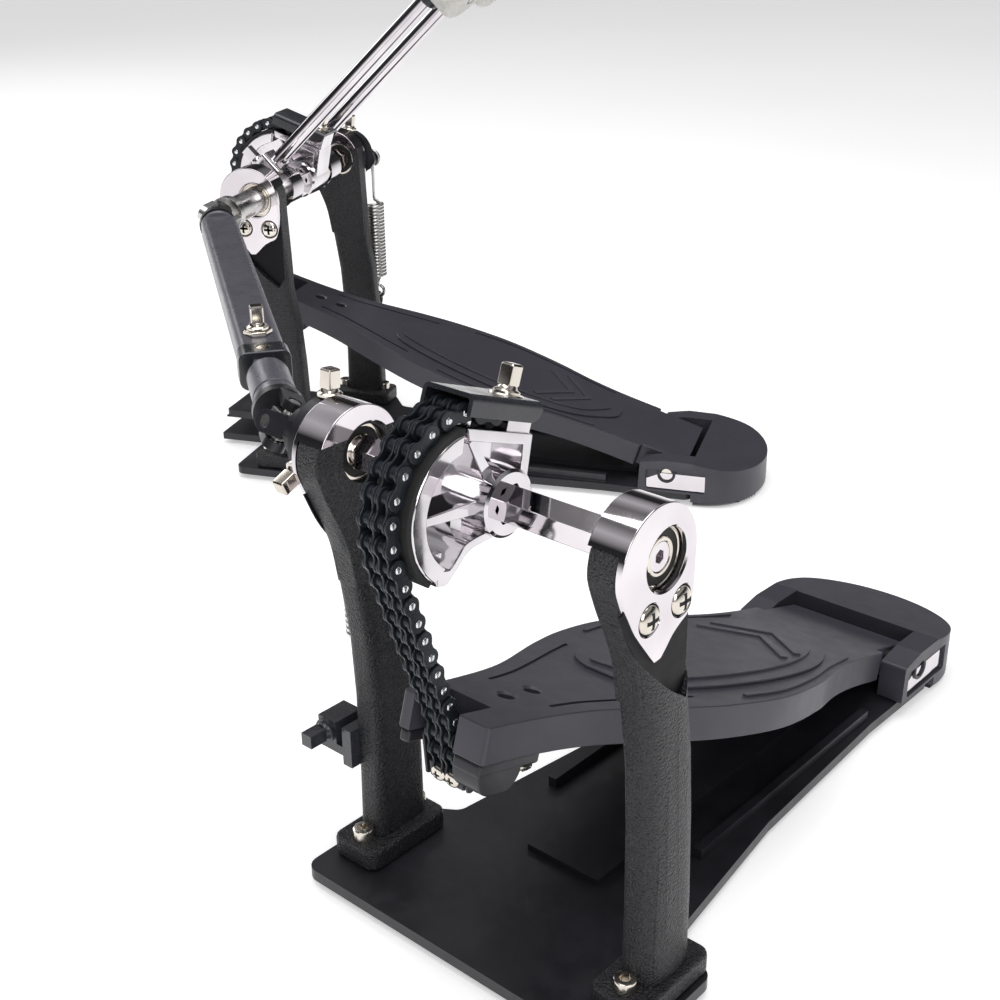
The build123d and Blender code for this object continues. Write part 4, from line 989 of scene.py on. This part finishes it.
def anchor(side):
    """Last links of the chain, screwed between two ears in the toe block's slot."""
    place, body = PLACE[side] @ CAM_SHIFT, side + "_footboard"
    pins = [on_anchor(PITCH * k, 0) for k in range(4)]
    links, rivets = [], []
    for k in range(3):
        links += link_plates(pins[k], pins[k + 1], k == 1)
    for pin in pins[1:]:
        links += rollers(*pin) + [pin_rod(*pin)]
    for pin in pins[1:3]:
        rivets += rivet_heads(*pin)
    finished(side + "_anchor_links", joined(*links), place, "chain", body, crease=34)
    finished(side + "_anchor_rivets", joined(*rivets), place, "rivet", body, crease=40)
    foot = ANCHOR + 4
    ear = lift([on_anchor(8, -3.0), on_anchor(11, 1.5), on_anchor(foot - 1, 2.6), on_anchor(foot, 1.2),
                on_anchor(foot, -4.4), on_anchor(9.5, -6)])
    parts = [eased(slab(ear, x, x + 1.25), 0.45, 2) for x in (-10.45, 9.2)]
    tail = lift([on_anchor(ANCHOR - 3.6, -3.4), on_anchor(ANCHOR - 3.6, 2.2), on_anchor(foot - 1, 2.6),
                 on_anchor(foot, 1.6), on_anchor(foot, -3.4)])
    parts.append(eased(slab(tail, -8.0, 8.0), 0.7, 3))
    back = lift([on_anchor(5, -4.6), on_anchor(5, -3.7), on_anchor(foot - 1, -3.7),
                 on_anchor(foot - 1, -4.6)])
    parts.append(slab(back, -9.3, 9.3))
    finished(side + "_anchor_ears", joined(*parts), place, "base", body)
    heads, slots = [], []
    lean = radians(ANCHOR_LEAN)
    toward = (0, cos(lean), -sin(lean))
    for x in (-3.3, 3.3):
        y, z = on_anchor(ANCHOR, 2.6)
        heads.append(pan_screw((x, y, H + z), toward, 3.2, 1.5))
        slots.append(slot_shade_fill((x, y, H + z), toward, 3.2, 1.5))
    finished(side + "_anchor_screws", joined(*heads), place, "nickel", body, crease=30)
    # painted shade: dark fills at the bottom of the anchor screws' cross recesses
    finished(side + "_anchor_slot_shade", joined(*slots), place, "recess", body)


# ---------------------------------------------------------------- spring
def spring(side):
    low = Vector((SPRING_X, -LEVER_ARM, 84))
    eye = polar(190, LEVER_ARM)
    high = Vector((SPRING_X, eye[0], H + eye[1]))
    up = (high - low).normalized()
    across = Vector((1, 0, 0))
    fore = up.cross(across)
    path = []
    for k in range(30):
        a = radians(-250 + 340 * k / 29)
        path.append(low + up * 1.7 + (fore * cos(a) + up * sin(a)) * 4.4)
    turns, start, length = 22, 12.5, 53.0
    for k in range(5):
        t = k / 4
        path.append(low + up * (7.5 + 4.0 * t) + across * (5.8 * t * t))
    for k in range(turns * 20 + 1):
        a = 2 * pi * k / 20
        path.append(low + up * (start + length * k / (turns * 20))
                    + (across * cos(a) + fore * sin(a)) * 5.8)
    for k in range(5):
        t = 1 - k / 4
        path.append(low + up * (66.5 + 4.0 * (1 - t)) + across * (5.8 * t * t))
    path.append(high - up * 6.4)
    for k in range(30):
        a = radians(-88 + 335 * k / 29)
        path.append(high + (fore * cos(a) + up * sin(a)) * 5.0)
    piece = finished(side + "_spring_wound", swept(path, 1.18, 10), PLACE[side], "steel", None,
                     (side + "_spring_coil", side + "_spring_hook"), weighted=False)
    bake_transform(piece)


# ---------------------------------------------------------------- drive shaft and joints
def drive_shaft():
    section = (arc((6.2, 3.7), 3.8, 0, 90, 7) + arc((-6.2, 3.7), 3.8, 90, 180, 7)
               + arc((-6.2, -3.7), 3.8, 180, 270, 7) + arc((6.2, -3.7), 3.8, 270, 360, 7))
    body = eased(slab(section, TUBE_START, TUBE_END), 0.8, 3, 50)
    bore = slab([(-5.2, -5.2), (5.2, -5.2), (5.2, 5.2), (-5.2, 5.2)], TUBE_START - 6, TUBE_END - 24)
    well = turned((92, 0, 3), (0, 0, 1), [(0, 3.1), (10, 3.1)], 24)
    body = cut(body, bore, well)
    neck = turned((TUBE_END - 1, 0, 0), (1, 0, 0),
                  [(0, 9.6), (1, 10.2), (3, 10.2), (4.5, 9.0), (9, 9.0)], 48)
    finished("drive_tube_shell", joined(body, neck), SHAFT, "tube", "drive_tube", crease=30)
    collar_section = [(y * 1.11, z * 1.13) for y, z in section]
    collar = eased(slab(collar_section, 64.2, 77), 0.9, 3, 50)
    collar = cut(collar, slab([(-5.3, -5.3), (5.3, -5.3), (5.3, 5.3), (-5.3, 5.3)], 60, 80),
                 turned((70.6, 0, 5), (0, 0, 1), [(0, 3.4), (8, 3.4)], 6))
    finished("drive_tube_collar", collar, SHAFT, "fold", "drive_tube", crease=30)
    window = turned((70.6, 0, 6.1), (0, 0, 1), [(0, 3.3), (1.9, 3.3), (2.2, 2.9)], 6)
    bolt = joined(key_bolt((92, 0, 9.8), (0, 0, 1), 4.5), window,
                  bar((92, 0, 7.55), (0, 0, 1), 2.2, 11.0, 6, 0, 0.5))
    finished("drive_tube_bolt", bolt, SHAFT, "nickel", "drive_tube", crease=30)


def shaft_fork(node, x0, x1):
    """The CAD shaft's own fork: the node with everything between x0 and x1 cut away."""
    bm = bmesh.new()
    bm.from_mesh(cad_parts[node].data)
    bmesh.ops.transform(bm, matrix=SHAFT.inverted(), verts=bm.verts)
    bmesh.ops.remove_doubles(bm, verts=bm.verts, dist=0.003)
    bm = cut(bm, box_tool(x0, x1, -60, 60, -60, 60))
    eased(bm, 0.5, 3)
    finished(node + "_fork", bm, SHAFT, "joint", node, (node,), crease=32)


def shaft_rod():
    body = turned((18.4, 0, 0), (1, 0, 0),
                  [(0, 8.6), (0.8, 9.0), (8, 9.0), (8.6, 8.3), (9.6, 8.3), (10.2, 9.0), (36, 9.0),
                   (37.2, 8.2), (37.6, 7.0)], 56)
    square = bar((50, 0, 0), (1, 0, 0), 180, 10.0, 4, pi / 4, 0.5)
    finished("drive_rod_body", joined(body, square), SHAFT, "tube", "drive_rod", crease=30)


# ---------------------------------------------------------------- beaters and hoop clamp
def beater(side):
    body = side + "_beater"
    hole = Vector((BEATER_X[side], 0, H)) + strike_dir * 13.0
    start = hole - rod_dir * 26
    shaft = turned(start, rod_dir, [(0, 3.9), (0.8, 4.72), (201, 4.72), (201.6, 4.4)], 40)
    finished(side + "_beater_shaft", shaft, PLACE["right"], "chrome", body, (side + "_beater_rod",))
    centre = hole + rod_dir * 180
    felt = turned(centre - strike_dir * 19.9, strike_dir,
                  [(0, 0), (0.0, 18), (0.5, 20.6), (1.6, 22.4), (3.4, 23.4), (6, 23.8), (34, 23.8),
                   (36.6, 23.4), (38.4, 22.2), (39.3, 20.2), (39.7, 17), (39.8, 0)], 72)
    ferrule = turned(hole + rod_dir * 152.5, rod_dir, [(0, 6.2), (0.8, 7.6), (4.0, 8.2), (6.5, 8.2)], 40)
    ring = ringed(centre - strike_dir * 19.9, strike_dir,
                  [(-0.05, 8.0), (-0.05, 9.6), (0.4, 10.0), (0.8, 9.0)], 48)
    finished(side + "_beater_felt", felt, PLACE["right"], "felt", body, (side + "_beater_head",))
    finished(side + "_beater_ferrule", joined(ferrule, ring), PLACE["right"], "joint", body, crease=30)


def hoop_clamp():
    skin("hoop_clamp_jaw", "hoop_clamp_jaw", "base", 0.7, 3)
    under = 20.0
    parts = [key_bolt((20, 26, under + 6), (0, 0, 1), 21, 4.0),
             ringed((20, 26, under + 5.2), (0, 0, 1), [(0, 4.05), (0, 4.95), (0.8, 4.95), (0.8, 4.05)], 40)]
    finished("hoop_clamp_bolt_bright", joined(*parts), PLACE["right"], "nickel", "hoop_clamp_bolt",
             ("hoop_clamp_bolt",), crease=30)


# ---------------------------------------------------------------- the whole set
POSTS = {"left": (("left_outer_post", -1), ("left_inner_post", 1)),
         "right": (("right_inner_post", -1), ("right_outer_post", 1))}
for pedal in ("left", "right"):
    for post_name, outboard in POSTS[pedal]:
        post(pedal, post_name, outboard)
    caps(pedal)
    fasteners(pedal)
    bearings(pedal)
    skin(pedal + "_base_plate", ROOT[pedal], "base", 0.7, 3)
    skin(pedal + "_base_pads", ROOT[pedal], "rubber", 0.5, 2)
    skin(pedal + "_spring_adjuster", ROOT[pedal], "fold", 0.4, 2)
    heel(pedal)
    footboard(pedal)
    toe(pedal)
    skin(pedal + "_axle", pedal + "_axle", "chrome", 0.35, 3)
    cam(pedal)
    clamp(pedal)
    bolts(pedal)
    skin(pedal + "_spring_lever", pedal + "_axle", "joint", 0.6, 3)
    chain(pedal)
    anchor(pedal)
    spring(pedal)
    beater(pedal)
skin("left_yoke", "left_axle", "joint", 0.5, 3)
for part in ("beater_axle", "left_cross", "right_cross"):
    skin(part, part, "steel", 0.5, 3)
for part, carrier in (("right_beater_hub", "right_axle"), ("left_beater_hub", "beater_axle")):
    skin(part, carrier, "cast_chrome", 0.7, 3)
drive_shaft()
shaft_fork("drive_tube", -20, TUBE_END + 0.2)
shaft_fork("drive_rod", 18.5, 250)
shaft_rod()
hoop_clamp()


# ---------------------------------------------------------------- floor, light and camera
def pale_floor():
    bm = bmesh.new()
    bmesh.ops.create_grid(bm, x_segments=8, y_segments=8, size=14)
    mesh = bpy.data.meshes.new("floor")
    bm.to_mesh(mesh)
    bm.free()
    obj = linked("floor", mesh)
    mat, tree, shader, coords = node_tree("floor_pale")
    shade = ramp(tree, noise_out(tree, coords, 1.5, 2.0), 0.0, 1.0)
    tree.links.new(tint(tree, shade, (0.90, 0.90, 0.90), (0.94, 0.94, 0.94)), shader.inputs["Base Color"])
    set_sockets(shader, Roughness=0.75, Emission_Color=(1, 1, 1, 1), Emission_Strength=0.42)
    obj.data.materials.append(mat)


def soft_light(name, place, aim, width, height, power, colour=(1, 1, 1)):
    data = bpy.data.lights.new(name, "AREA")
    data.shape = "RECTANGLE"
    data.size, data.size_y = width, height
    data.energy = power
    data.color = colour
    obj = linked(name, data)
    obj.location = place
    obj.rotation_euler = (Vector(aim) - Vector(place)).to_track_quat("-Z", "Y").to_euler()


def surroundings():
    world = bpy.data.worlds.new("studio")
    bpy.context.scene.world = world
    world.use_nodes = True
    tree = world.node_tree
    back = tree.nodes["Background"]
    coords = tree.nodes.new("ShaderNodeTexCoord")
    split = tree.nodes.new("ShaderNodeSeparateXYZ")
    tree.links.new(coords.outputs["Generated"], split.inputs["Vector"])
    band = tree.nodes.new("ShaderNodeValToRGB")
    band.color_ramp.elements[0].position = 0.0
    band.color_ramp.elements[0].color = (0.9, 0.9, 0.92, 1)
    for place, value in ((0.06, 0.50), (0.16, 0.06), (0.40, 0.03), (0.52, 0.45), (0.66, 0.80), (0.80, 0.25),
                         (1.0, 0.10)):
        element = band.color_ramp.elements.new(place)
        element.color = (value, value * 0.985, value * 1.02, 1)
    tree.links.new(split.outputs["Z"], band.inputs["Fac"])
    tree.links.new(band.outputs["Color"], back.inputs["Color"])
    back.inputs["Strength"].default_value = 0.6


def camera():
    data = bpy.data.cameras.new("camera")
    data.sensor_width = 36.0
    data.lens = 52.754
    data.clip_start = 0.01
    obj = linked("camera", data)
    yaw, pitch, roll = radians(-48.36), radians(24.17), radians(-0.65)
    d = Vector((cos(yaw) * cos(pitch), sin(yaw) * cos(pitch), -sin(pitch)))
    r = d.cross(Vector((0, 0, 1))).normalized()
    u = r.cross(d)
    right = r * cos(roll) + u * sin(roll)
    above = u * cos(roll) - r * sin(roll)
    basis = Matrix((right, above, -d)).transposed().to_4x4()
    spin = Matrix.Rotation(radians(SPLAY), 4, "Z")
    place = PLACE["left"] @ Vector((-299.67, 331.86, 384.48))
    obj.matrix_world = Matrix.Translation(place) @ spin @ basis
    bpy.context.scene.camera = obj


pale_floor()
soft_light("overhead", (-0.3, -0.2, 1.9), (-0.25, -0.15, 0.1), 1.6, 1.6, 20)
soft_light("front_left", (-2.0, -0.9, 1.1), (-0.3, -0.2, 0.12), 0.8, 1.3, 11)
soft_light("back_right", (0.9, 1.5, 1.3), (-0.3, -0.2, 0.12), 0.9, 1.0, 9)
surroundings()
camera()
bpy.context.scene.view_settings.view_transform = "Standard"
